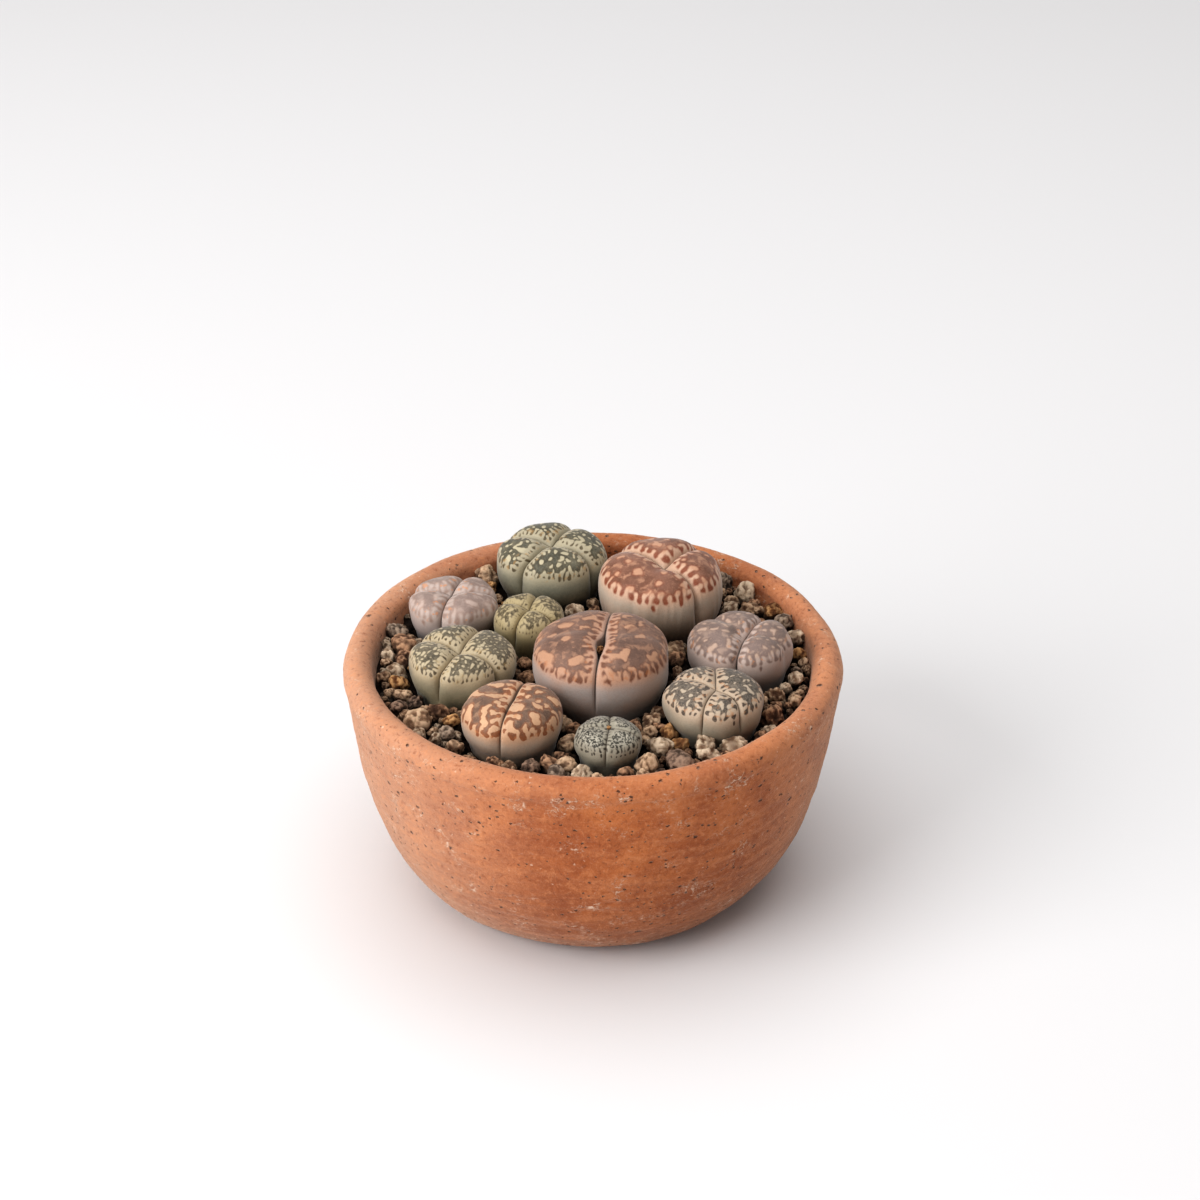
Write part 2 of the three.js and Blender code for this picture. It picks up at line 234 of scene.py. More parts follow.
class Wire:
    """A value in a material, on which arithmetic adds Math nodes."""

    def __init__(self, sheet: "Sheet", socket: bpy.types.NodeSocket) -> None:
        """Wraps an output socket of a node on a sheet."""
        self.sheet = sheet
        self.socket = socket

    def math(self, operation: str, *others: "Wire | float") -> "Wire":
        """One Math node on this value and others."""
        return self.sheet.node("ShaderNodeMath", {"operation": operation},
                               dict(enumerate((self, *others))))

    def _after(self, number: float, operation: str) -> "Wire":
        """One Math node with a number on the left of this value."""
        return self.sheet.node("ShaderNodeMath", {"operation": operation}, {0: number, 1: self})

    def __add__(self, other: "Wire | float") -> "Wire":
        """Sum."""
        return self.math("ADD", other)

    def __sub__(self, other: "Wire | float") -> "Wire":
        """Difference."""
        return self.math("SUBTRACT", other)

    def __rsub__(self, number: float) -> "Wire":
        """Difference with a number on the left."""
        return self._after(number, "SUBTRACT")

    def __mul__(self, other: "Wire | float") -> "Wire":
        """Product."""
        return self.math("MULTIPLY", other)

    def __truediv__(self, other: "Wire | float") -> "Wire":
        """Quotient."""
        return self.math("DIVIDE", other)

    def __rtruediv__(self, number: float) -> "Wire":
        """Quotient of a number by this."""
        return self._after(number, "DIVIDE")

    __radd__ = __add__
    __rmul__ = __mul__

    def most(self, other: "Wire | float") -> "Wire":
        """The larger of two values."""
        return self.math("MAXIMUM", other)

    def step(self, low: "Wire | float", high: "Wire | float") -> "Wire":
        """A soft step from 0 at low to 1 at high."""
        return self.sheet.node(
            "ShaderNodeMapRange", {"interpolation_type": "SMOOTHSTEP"},
            {"Value": self, "From Min": low, "From Max": high, "To Min": 0.0, "To Max": 1.0})


class Sheet:
    """The node sheet of one material."""

    def __init__(self, name: str) -> None:
        """Starts an empty material.

        Args:
            name: name of the material.
        """
        self.material = bpy.data.materials.new(name)
        self.material.use_nodes = True
        self.tree = self.material.node_tree
        self.tree.nodes.clear()

    def node(self, kind: str, settings: dict[str, Any] | None = None,
             inputs: dict[int | str, Any] | None = None,
             output: int | str = 0) -> Wire:
        """Adds any node.

        Args:
            kind: the node's type.
            settings: the node's properties, which are set first.
            inputs: values or wires by the number, name or identifier of a socket.
            output: number or name of the output that is wanted.

        Returns:
            The wanted output.
        """
        made = self.tree.nodes.new(kind)
        for key, value in (settings or {}).items():
            setattr(made, key, value)
        for key, value in (inputs or {}).items():
            self._feed(self._socket(made.inputs, key), value)
        return Wire(self, self._socket(made.outputs, output) if len(made.outputs) else None)

    @staticmethod
    def _socket(sockets: Any, key: int | str) -> bpy.types.NodeSocket:
        """A socket by its number, name or identifier."""
        if isinstance(key, int):
            return sockets[key]
        for socket in sockets:
            if socket.enabled and key in (socket.identifier, socket.name):
                return socket
        raise KeyError(f"no socket {key} among {[socket.name for socket in sockets]}")

    def _feed(self, socket: bpy.types.NodeSocket, value: Any) -> None:
        """Links a wire to a socket, or sets the socket's own value."""
        if isinstance(value, Wire):
            self.tree.links.new(value.socket, socket)
        else:
            socket.default_value = value

    def attribute(self, name: str) -> Wire:
        """A field of the mesh, as a number."""
        return self.node("ShaderNodeAttribute", {"attribute_name": name}, {}, "Fac")

    def place(self) -> Wire:
        """Position on the piece, in millimetres."""
        spot = self.node("ShaderNodeTexCoord", {}, {}, "Object")
        return self.scaled(spot, 1 / MM)

    def axis(self, vector: Wire, letter: str) -> Wire:
        """One axis of a vector."""
        return self.node("ShaderNodeSeparateXYZ", {}, {0: vector}, letter)

    def scaled(self, vector: Wire, factor: "float | Wire") -> Wire:
        """A vector times a number."""
        return self.node("ShaderNodeVectorMath", {"operation": "SCALE"},
                         {0: vector, "Scale": factor})

    def times(self, vector: Wire, factors: tuple[float, float, float]) -> Wire:
        """A vector times another, axis by axis."""
        return self.node("ShaderNodeVectorMath", {"operation": "MULTIPLY"},
                         {0: vector, 1: factors})

    def shifted(self, vector: Wire, other: "Wire | tuple[float, float, float]") -> Wire:
        """The sum of two vectors."""
        return self.node("ShaderNodeVectorMath", {"operation": "ADD"}, {0: vector, 1: other})

    def noise(self, vector: Wire, size: float, detail: float = 2.0, rough: float = 0.5,
              bend: float = 0.0) -> Wire:
        """Soft noise.

        Args:
            vector: where it is read, in millimetres.
            size: size of its features, in millimetres.
            detail: how many finer layers it has.
            rough: how strong those are.
            bend: how much it is warped.

        Returns:
            Noise from 0 to 1, mostly near 0.5.
        """
        return self.node("ShaderNodeTexNoise", {},
                         {"Vector": vector, "Scale": 1 / size, "Detail": detail,
                          "Roughness": rough, "Distortion": bend})

    def cells(self, vector: Wire, size: float, output: str = "Distance") -> Wire:
        """Scattered points: the distance to the nearest as a share of their spacing."""
        return self.node("ShaderNodeTexVoronoi", {}, {"Vector": vector, "Scale": 1 / size},
                         output)

    def mix(self, share: "Wire | float", first: "Wire | Colour", second: "Wire | Colour"
            ) -> Wire:
        """A colour between two."""
        return self.node("ShaderNodeMix", {"data_type": "RGBA"},
                         {"Factor_Float": share, "A_Color": first, "B_Color": second},
                         "Result_Color")

    def coated(self, colour: "Wire | Colour",
               coats: Iterable[tuple["Wire | float", "Wire | Colour"]]) -> Wire:
        """A colour with others over it, each laid on with its own share.

        Args:
            colour: the colour at the bottom.
            coats: the shares and colours of the others, from the bottom up.

        Returns:
            The colour that comes out.
        """
        for share, coat in coats:
            colour = self.mix(share, colour, coat)
        return colour

    def finish(self, colour: Wire, roughness: "Wire | float", height: Wire | None = None,
               depth: float = 0.1, constants: dict[str, Any] | None = None
               ) -> bpy.types.Material:
        """Adds the surface itself.

        Args:
            colour: base colour.
            roughness: roughness.
            height: relief for the bump, from 0 to 1.
            depth: how deep the relief is, in millimetres.
            constants: values of other sockets of the surface.

        Returns:
            The finished material.
        """
        inputs: dict[int | str, Any] = {"Base Color": colour, "Roughness": roughness}
        if height is not None:
            inputs["Normal"] = self.node(
                "ShaderNodeBump", {}, {"Strength": 1.0, "Distance": depth * MM, "Height": height})
        surface = self.node("ShaderNodeBsdfPrincipled", {}, {**inputs, **(constants or {})})
        self.node("ShaderNodeOutputMaterial", {}, {"Surface": surface})
        return self.material


# ----------------------------------------------------------------------- finishes


@dataclass(frozen=True)
class Terracotta:
    """Unglazed thrown clay: streaked, pitted and touched with lime, with painted light and shade.
    """

    name: str = "terracotta"
    clay: Colour = srgb(190, 113, 64)
    deep: Colour = srgb(158, 84, 43)
    foot: Colour = srgb(124, 61, 27)
    pale: Colour = srgb(212, 143, 98)
    # paler colour of the top-lit lip: painted light
    rim: Colour = srgb(188, 128, 94)
    # paler colour of the lit left side and the grazing right edge: painted sheen
    painted_sheen: Colour = srgb(206, 166, 140)
    lime: Colour = srgb(232, 204, 182)
    # dark colour of the pits: painted shade in those hollows
    pit: Colour = srgb(58, 32, 22)

    def build(self) -> bpy.types.Material:
        """Makes the material."""
        sheet = Sheet(self.name)
        place = sheet.place()
        height = sheet.axis(place, "Z")
        side = sheet.axis(place, "X")
        streak = sheet.noise(sheet.times(place, (0.14, 0.14, 1.0)), 2.8, 4.0, 0.6, 0.3)
        cloud = sheet.noise(place, 24.0, 4.0, 0.6, 0.6)
        crumb = sheet.noise(place, 1.7, 6.0, 0.72, 0.4)
        grain = sheet.noise(place, 0.5, 3.0, 0.65)
        warped = sheet.shifted(place, sheet.scaled(sheet.node(
            "ShaderNodeTexNoise", {}, {"Vector": place, "Scale": 1.4, "Detail": 3.0},
            "Color"), 1.3))
        lime = self._scuffs(sheet, place, warped, height)
        rows = sheet.noise(sheet.times(place, (0.1, 0.1, 1.0)), 3.4, 2.0, 0.5).step(0.46, 0.6)
        drawn = sheet.times(warped, (0.75, 0.75, 1.15))
        pits = (self._pits(sheet, drawn, 1.5, 0.34, 0.68 - rows * 0.3)
                .most(self._pits(sheet, drawn, 4.6, 0.16, 0.4))
                .most(self._pits(sheet, drawn, 11.0, 0.1, 0.4)))
        flakes = self._pits(sheet, sheet.shifted(drawn, (40.0, 9.0, 5.0)), 2.3, 0.2, 0.7)
        colour = sheet.coated(self.deep, [
            (cloud.step(0.36, 0.64), self.clay),
            # painted shade: darker towards the foot, where the wall turns under away from the
            # light
            ((1 - height.step(0.0, 60.0)) * 0.8, self.foot),
            # painted light: paler towards the top-lit lip
            (height.step(66.0, 74.0) * 0.45, self.rim),
            # painted sheen: paler on the lit left side and at the grazing right edge
            ((1 - side.step(-70.0, 0.0)) * 0.5, self.painted_sheen),
            (side.step(40.0, 76.0) * 0.25, self.painted_sheen),
            (streak.step(0.46, 0.74) * 0.3, self.pale),
            ((1 - streak.step(0.26, 0.48)) * 0.25, self.deep),
            (crumb.step(0.5, 0.68) * 0.45, self.pale),
            ((1 - crumb.step(0.32, 0.48)) * 0.55, self.foot),
            (grain.step(0.5, 0.8) * 0.16, self.lime),
            (lime * 0.8, self.lime),
            (flakes * 0.5, self.lime),
            # painted shade: the pits, hollows in the relief, darkened
            (pits * 0.85, self.pit)])
        relief = (0.5 + streak * 0.22 + crumb * 0.42 + grain * 0.16 + lime * 0.2) - pits * 0.9
        roughness = (0.84 + grain * 0.1) - lime * 0.05
        return sheet.finish(colour, roughness, relief, 0.6, {
            "Specular IOR Level": 0.3, "Sheen Weight": 0.45, "Sheen Roughness": 0.4,
            "Sheen Tint": srgb(255, 226, 204)})

    @staticmethod
    def _scuffs(sheet: Sheet, place: Wire, warped: Wire, height: Wire) -> Wire:
        """Thin curling scuffs of lime, mostly under the lip and low on the wall.

        Args:
            sheet: the material's sheet.
            place: position on the bowl.
            warped: the same, bent out of true.
            height: height above the base.

        Returns:
            1 in a scuff and 0 between.
        """
        curl = (sheet.noise(sheet.times(warped, (0.6, 0.6, 1.2)), 2.6, 2.0, 0.5, 1.0)
                - 0.5).math("ABSOLUTE")
        lines = 1 - curl.step(0.01, 0.04)
        lines = lines * sheet.noise(warped, 1.6, 2.0, 0.5).step(0.44, 0.56)
        rough = sheet.noise(warped, 0.9, 3.0, 0.7).step(0.52, 0.64)
        where = height.step(60.0, 67.0) * (1 - height.step(71.0, 74.0)) * 0.7
        where = where.most((1 - height.step(10.0, 40.0)) * 0.8).most(0.45)
        patch = sheet.noise(place, 9.0, 3.0, 0.6).step(0.6 - where * 0.18, 0.78 - where * 0.18)
        return lines.most(rough * 0.35) * patch

    @staticmethod
    def _pits(sheet: Sheet, place: Wire, spacing: float, width: float,
              start: "Wire | float") -> Wire:
        """Scattered pits, where only some of the cells hold one.

        Args:
            sheet: the material's sheet.
            place: where the pattern is read.
            spacing: distance between pits.
            width: size of the largest pits as a share of that.
            start: least chance value of a cell that holds one, from 0 to 1.

        Returns:
            1 in a pit and 0 between.
        """
        near = sheet.cells(place, spacing)
        chance = sheet.node("ShaderNodeSeparateColor", {},
                            {0: sheet.cells(place, spacing, "Color")})
        size = (chance - start).most(0.0) / (1.001 - start) * width
        return (1 - near / (size + 0.001)).step(0.0, 0.5)


@dataclass(frozen=True)
class GritFinish:
    """One kind of grit stone, each stone a little different, with painted light and shade."""

    name: str
    colour: Colour
    light: Colour
    dark: Colour
    pores: float = 0.5
    # near-black colour low between the stones: painted shade in the gaps
    gap_shade: Colour = srgb(26, 17, 12)

    def build(self) -> bpy.types.Material:
        """Makes the material."""
        sheet = Sheet(self.name)
        place = sheet.place()
        ground = sheet.noise(place, 1.3, 6.0, 0.7, 0.4)
        fine = sheet.noise(place, 0.34, 4.0, 0.7)
        pore = (1 - sheet.cells(place, 0.62).step(0.12, 0.34)) * fine.step(0.4, 0.62)
        crest = sheet.attribute("crest")
        colour = sheet.coated(self.dark, [
            (sheet.attribute("tint"), self.light),
            (0.5, self.colour),
            (ground.step(0.48, 0.7) * 0.55, self.light),
            ((1 - ground.step(0.3, 0.48)) * 0.5, self.dark),
            # painted shade in the pores, which are also hollows in the relief
            (pore * self.pores, self.dark),
            (fine.step(0.5, 0.8) * 0.3, self.light),
            ((1 - fine.step(0.28, 0.48)) * 0.4, self.dark),
            # painted light: lighter on each stone's crests, darker in its hollows
            (crest.step(0.3, 0.85) * 0.8, self.light),
            ((1 - crest.step(0.0, 0.4)) * 0.6, self.dark),
            # painted shade in the creases and hollows of each stone
            (sheet.attribute("crease") * 0.85, self.dark),
            # painted shade: near-black low down, in the gaps between the stones
            ((1 - sheet.axis(place, "Z").step(67.7, 71.2)) * 0.96, self.gap_shade)])
        relief = ground * 0.7 + fine * 0.75 - pore * 0.6
        return sheet.finish(colour, 0.9, relief, 0.9, {"Specular IOR Level": 0.3})


@dataclass(frozen=True)
class SoilFinish:
    """A dark crumbly mix. As the bed between the stones, its near-black colour is painted shade in
    the gaps.
    """

    name: str
    colour: Colour
    light: Colour

    def build(self) -> bpy.types.Material:
        """Makes the material."""
        sheet = Sheet(self.name)
        place = sheet.place()
        crumbs = sheet.noise(place, 1.1, 5.0, 0.7)
        colour = sheet.mix(crumbs.step(0.45, 0.75), self.colour, self.light)
        return sheet.finish(colour, 0.95, crumbs, 0.5, {"Specular IOR Level": 0.15})


@dataclass(frozen=True)
class Skin:
    """Skin of one head: smooth pale sides with painted shade towards the grit and in the creases,
    and a patterned window on every lobe.

    The mesh says where the dark markings lie ("ink"), how far inside a window a place
    is ("edge"), how high it is and how far from a crease.
    """

    name: str
    side: Colour
    low: Colour
    # darker colour of the sides by the grit: painted shade
    margin: Colour
    window: Colour
    deep: Colour
    island: Colour
    finger: Colour
    spot: Colour = srgb(186, 118, 70)
    # dark colour deep in the creases: painted shade
    crease: Colour = srgb(86, 66, 52)
    strength: float = 1.0
    blur: float = 0.14
    ragged: float = 0.14
    maze: float = 0.0
    maze_size: float = 0.8
    haze: float = 0.15
    rim: float = 0.45
    blush: float = 0.0
    wrinkles: float = 0.0

    def build(self) -> bpy.types.Material:
        """Makes the material."""
        sheet = Sheet(self.name)
        place = sheet.place()
        edge = sheet.attribute("edge")
        height = sheet.attribute("height")
        fine = sheet.noise(place, 0.42, 3.0, 0.6)
        soft = sheet.noise(place, 2.2, 3.0, 0.55)
        cloud = sheet.noise(place, 8.0, 3.0, 0.5)
        ink = sheet.attribute("ink") + (fine - 0.5) * self.ragged
        ink = ink + (soft - 0.5) * (1.6 * self.ragged)
        dark = ink.step(-self.blur, self.blur)
        if self.maze:
            lines = sheet.noise(place, self.maze_size, 1.0, 0.5, 0.5).step(0.48, 0.55)
            dark = dark * (1 - lines * edge.step(-0.1, 0.7) * self.maze)
        blotch = sheet.noise(place, 3.0, 3.0, 0.55, 0.6).step(0.48, 0.66) * edge.step(0.6, 2.4)
        dotted = 1 - sheet.cells(place, 0.42).step(0.1, 0.42)
        tone = sheet.coated(self.window, [
            (cloud.step(0.36, 0.64), self.deep),
            (blotch * self.haze, self.island),
            ((1 - ink.step(0.0, 0.9)) * self.rim, self.finger),
            ((1 - edge.step(-0.8, 1.4)) * 0.85, self.finger),
            (dotted * 0.22, self.island)])
        spots = sheet.noise(place, 1.7, 2.0, 0.5).step(0.58, 0.66)
        zone = edge.step(-2.4, -0.6) * (1 - edge.step(0.8, 2.6))
        mottle = sheet.noise(place, 1.1, 4.0, 0.65)
        # painted shade: darker deep in the creases
        crease_shade = (1 - sheet.attribute("cleft").step(0.0, 0.3)) * height.step(0.1, 0.5)
        # painted shade: the sides darken from the side colour down to the low one at the grit
        colour = sheet.coated(self.low, [
            (height.step(0.0, 0.62), self.side),
            (cloud.step(0.4, 0.68) * 0.22, self.margin),
            (edge.step(-4.6, -0.2) * 0.95, self.margin),
            (edge.step(0.2, 1.8), self.island),
            (dark * self.strength, tone),
            (spots * zone * self.blush, self.spot),
            ((mottle - 0.42).most(0.0) * 0.5, self.island),
            ((0.56 - fine).most(0.0) * 0.6, self.deep),
            (crease_shade * 0.6, self.crease)])
        relief = fine * 0.5 + (1 - dark * self.strength) * 0.25 + soft * 0.25 - dotted * 0.12
        if self.wrinkles:
            upright = sheet.times(place, (1.0, 1.0, 0.12))
            lines = sheet.noise(upright, 1.3, 3.0, 0.6)
            relief = relief + lines * (1 - edge.step(-4.0, 0.0)) * self.wrinkles
        roughness = (0.47 + fine * 0.12) + dark * 0.05
        return sheet.finish(colour, roughness, relief, 0.14, {
            "Specular IOR Level": 0.34, "Sheen Weight": 0.25, "Sheen Roughness": 0.4})


@dataclass(frozen=True)
class Plaster:
    """A plain matt surface for what the object stands on."""

    name: str
    colour: Colour

    def build(self) -> bpy.types.Material:
        """Makes the material."""
        sheet = Sheet(self.name)
        tone = sheet.noise(sheet.place(), 900.0, 2.0)
        colour = sheet.mix(tone * 0.04, self.colour, srgb(205, 206, 210))
        return sheet.finish(colour, 0.9)


# ---------------------------------------------------------------------------- pot


@dataclass
class Bowl:
    """The thrown terracotta bowl with its rounded lip and drainage hole.

    Attributes:
        lip_overhang: how far the lip stands out from the wall.
        lip_start: height where the outside passes into the lip.
        lip_turn: where the lip's round starts and ends, in degrees from level.
        draft: how much the wall closes in for each millimetre down.
        belly: how far it curves in besides, by the foot.
        belly_power: how late that curve begins.
        floor_edge: height where the inside passes into the floor's rounded edge.
        floor_corner: how far from the wall that edge's corner lies.
        foot_rise: height where the outside passes into the foot's rounded edge.
        foot_corner: how far inside the wall that edge's corner lies.
        unevenness: its layers, each with a height, seed, wavelength and stretch.
        dent_height: height of a dent as a share of its width.
    """

    outer_radius: float = 75.0
    height: float = 75.0
    lip_radius: float = 4.4
    lip_overhang: float = 0.3
    lip_start: float = 68.6
    lip_turn: tuple[float, float] = (-18, 180)
    draft: float = 0.135
    belly: float = 16.1
    belly_power: float = 4.3
    floor: float = 8.0
    floor_edge: float = 14.0
    floor_corner: float = 4.0
    floor_radius: float = 36.0
    foot_radius: float = 42.0
    foot_rise: float = 4.5
    foot_corner: float = 1.5
    hole_radius: float = 6.0
    columns: int = 400
    unevenness: tuple[tuple[float, int, float, float], ...] = (
        (0.26, 3, 55.0, 1.0), (0.1, 4, 14.0, 1.0), (0.09, 5, 3.4, 0.12), (0.03, 6, 1.7, 1.0))
    dents: int = 70
    dent_levels: tuple[float, float] = (8, 73)
    dent_radii: tuple[float, float] = (0.8, 1.9)
    dent_depths: tuple[float, float] = (0.12, 0.4)
    dent_height: float = 0.7
    finish: Terracotta = Terracotta()

    @property
    def lip_height(self) -> float:
        """Height of the centre of the lip's section."""
        return self.height - self.lip_radius

    def wall_radius(self, height: np.ndarray) -> np.ndarray:
        """Outside radius of the wall at heights above the base."""
        depth = np.maximum(self.lip_height - np.asarray(height, float), 0)
        top = self.outer_radius - self.lip_overhang
        return (top - self.draft * depth
                - self.belly * (depth / self.lip_height) ** self.belly_power)

    def inside_radius(self, height: np.ndarray) -> np.ndarray:
        """Inside radius of the wall at heights above the rounded edge of the floor."""
        depth = self.lip_height - np.asarray(height, float)
        reach = self.lip_height - self.floor
        top = self.outer_radius - 2 * self.lip_radius
        return top - self.draft * depth - self.belly * (depth / reach) ** self.belly_power

    def profile(self) -> np.ndarray:
        """Points of the section, from the hole's lower edge round the outside and back."""
        base = pairs(np.linspace(self.hole_radius, self.foot_radius, 26)[:-1], 0.0)
        foot = rounded((self.foot_radius, 0),
                       (float(self.wall_radius(0.0)) - self.foot_corner, 0),
                       (float(self.wall_radius(self.foot_rise)), self.foot_rise))
        heights = np.linspace(self.foot_rise, self.lip_start, 86)[1:]
        turn = np.radians(np.linspace(*self.lip_turn, 34))
        lip = pairs(self.outer_radius - self.lip_radius + self.lip_radius * np.cos(turn),
                    self.lip_height + self.lip_radius * np.sin(turn))
        depths = np.linspace(self.lip_height, self.floor_edge, 34)[1:]
        edge_radius = float(self.inside_radius(self.floor_edge))
        edge = rounded((edge_radius, self.floor_edge),
                       (edge_radius - self.floor_corner, self.floor),
                       (self.floor_radius, self.floor))[1::3]
        floor = pairs(np.linspace(self.floor_radius, self.hole_radius, 8)[1:], self.floor)
        hole = pairs(self.hole_radius, np.linspace(self.floor, 0, 6)[1:-1])
        return np.concatenate([base, foot, pairs(self.wall_radius(heights), heights), lip,
                               pairs(self.inside_radius(depths), depths), edge, floor, hole])

    def build(self) -> bpy.types.Object:
        """Makes the bowl's mesh with its throwing lines, dents and pits.

        Returns:
            The bowl.
        """
        profile = self.profile()
        along = np.roll(profile, -1, 0) - np.roll(profile, 1, 0)
        out = np.stack([along[:, 1], -along[:, 0]], -1)
        out /= np.linalg.norm(out, axis=1, keepdims=True)
        points, outwards = self._spin(profile), self._spin(out)
        flat = points.reshape(-1, 3)
        shift = sum(height * Ripple(seed, wavelength).at(flat * (stretch, stretch, 1.0))
                    for height, seed, wavelength, stretch in self.unevenness)
        shift -= self._dents(flat)
        seen = smooth(flat[:, 2], 0.0, 2.5)
        points = points + outwards * (shift * seen).reshape(points.shape[:2])[..., None]
        faces = ring_faces(len(profile), self.columns, wrap=True)
        return add_mesh("terracotta_bowl", points.reshape(-1, 3), [faces])

    def _spin(self, section: np.ndarray) -> np.ndarray:
        """Turns a section about the axis, into one ring for each of its points."""
        angle = np.linspace(0, TAU, self.columns, endpoint=False)
        ways = np.stack([np.cos(angle), np.sin(angle)], -1)
        levels = np.broadcast_to(section[:, None, 1:], (len(section), self.columns, 1))
        return np.concatenate([section[:, None, :1] * ways[None], levels], -1)

    def _dents(self, points: np.ndarray) -> np.ndarray:
        """Depth of the larger pits and chips at points of the bowl."""
        draw = np.random.default_rng(17)
        depth = np.zeros(len(points))
        for _ in range(self.dents):
            turn, level = draw.uniform(0, TAU), draw.uniform(*self.dent_levels)
            radius = draw.uniform(*self.dent_radii)
            reach = float(self.wall_radius(level))
            spot = np.array([reach * math.cos(turn), reach * math.sin(turn), level])
            away = np.linalg.norm((points - spot) / (1, 1, self.dent_height), axis=1) / radius
            depth += draw.uniform(*self.dent_depths) * np.clip(1 - away ** 2, 0, 1)
        return depth

    def dress(self, piece: bpy.types.Object) -> None:
        """Gives the bowl its finish and its place in the part."""
        dress_piece(piece, self.finish, "pot")


# ------------------------------------------------------------------------- plants


DOME_STEPS = 900  # fine steps of a head's section over its dome
SIDE_STEPS = 200  # and down its side
BORDER_RAYS, BORDER_STEPS = 241, 220  # how finely the border of a window is traced
STROKE_REACH = 6.0  # no marking reaches further out of its window than this
POWER_LIMIT = 40  # powers of e are kept within this, so that none overflows
FAR_OUTSIDE = -20.0  # depth in the windows and markings of the root's tip
FAR_FROM_CREASE = 9.0  # distance from a crease beyond which it no longer matters


@dataclass(frozen=True)
class Cleft:
    """A cleft between two lobes, running out from the middle of a head.

    Attributes:
        azimuth: its direction, in degrees.
        roll: radius of the tight roll into its crease, or 0 for a soft saddle.
        bend: how far it bows to the left on its way out, in degrees.
        pillow: how far the cushions beside it sink towards it, as a share.
    """

    azimuth: float
    roll: float = 1.3
    bend: float = 0.0
    pillow: float = 1.0


def measured(dx: np.ndarray, dy: np.ndarray, azimuth: float
             ) -> tuple[np.ndarray, np.ndarray]:
    """Places measured along a direction given in degrees, and to the left of it."""
    cos, sin = math.cos(math.radians(azimuth)), math.sin(math.radians(azimuth))
    return dx * cos + dy * sin, dy * cos - dx * sin


@dataclass(frozen=True)
class Gap:
    """The open stretch of a fissure, between the two leaves of a head.

    Attributes:
        azimuth: direction of the fissure, in degrees.
        stations: places along it, from the middle of the head.
        left: width of the opening there on its left.
        right: width of the opening there on its right.
        depth: how deep it is.
    """

    azimuth: float
    stations: tuple[float, ...]
    left: tuple[float, ...]
    right: tuple[float, ...]
    depth: float

    def width(self, dx: np.ndarray, dy: np.ndarray) -> np.ndarray:
        """Width of the opening on the side where each place lies."""
        along, left = measured(dx, dy, self.azimuth)
        return np.where(left < 0, np.interp(along, self.stations, self.right),
                        np.interp(along, self.stations, self.left))

    def holds(self, cleft: Cleft) -> bool:
        """Whether a cleft lies along the fissure, on either side of the middle."""
        return abs(math.sin(math.radians(cleft.azimuth - self.azimuth))) < 0.1


class Strokes:
    """Round-ended strokes on a head's flat map."""

    def __init__(self) -> None:
        """Starts with none."""
        self.strokes: list[tuple[np.ndarray, np.ndarray, float]] = []

    def add(self, start: np.ndarray, end: np.ndarray, radius: float) -> None:
        """Adds one stroke."""
        self.strokes.append((start, end, radius))

    def depth(self, spots: np.ndarray, softness: float) -> np.ndarray:
        """How deep spots lie inside the strokes, which join softly.

        Args:
            spots: places on the map.
            softness: size of the fillets where strokes meet, in millimetres.

        Returns:
            Millimetres inside, or below 0 outside.
        """
        total = np.full(len(spots), 1e-17)
        for start, end, radius in self.strokes:
            way = end - start
            offset = spots - start
            share = np.clip(offset @ way / (way @ way + 1e-9), 0, 1)
            depth = radius - np.hypot(*(offset - share[:, None] * way).T)
            total += np.exp(np.clip(depth / softness, -POWER_LIMIT, POWER_LIMIT))
        return softness * np.log(total)


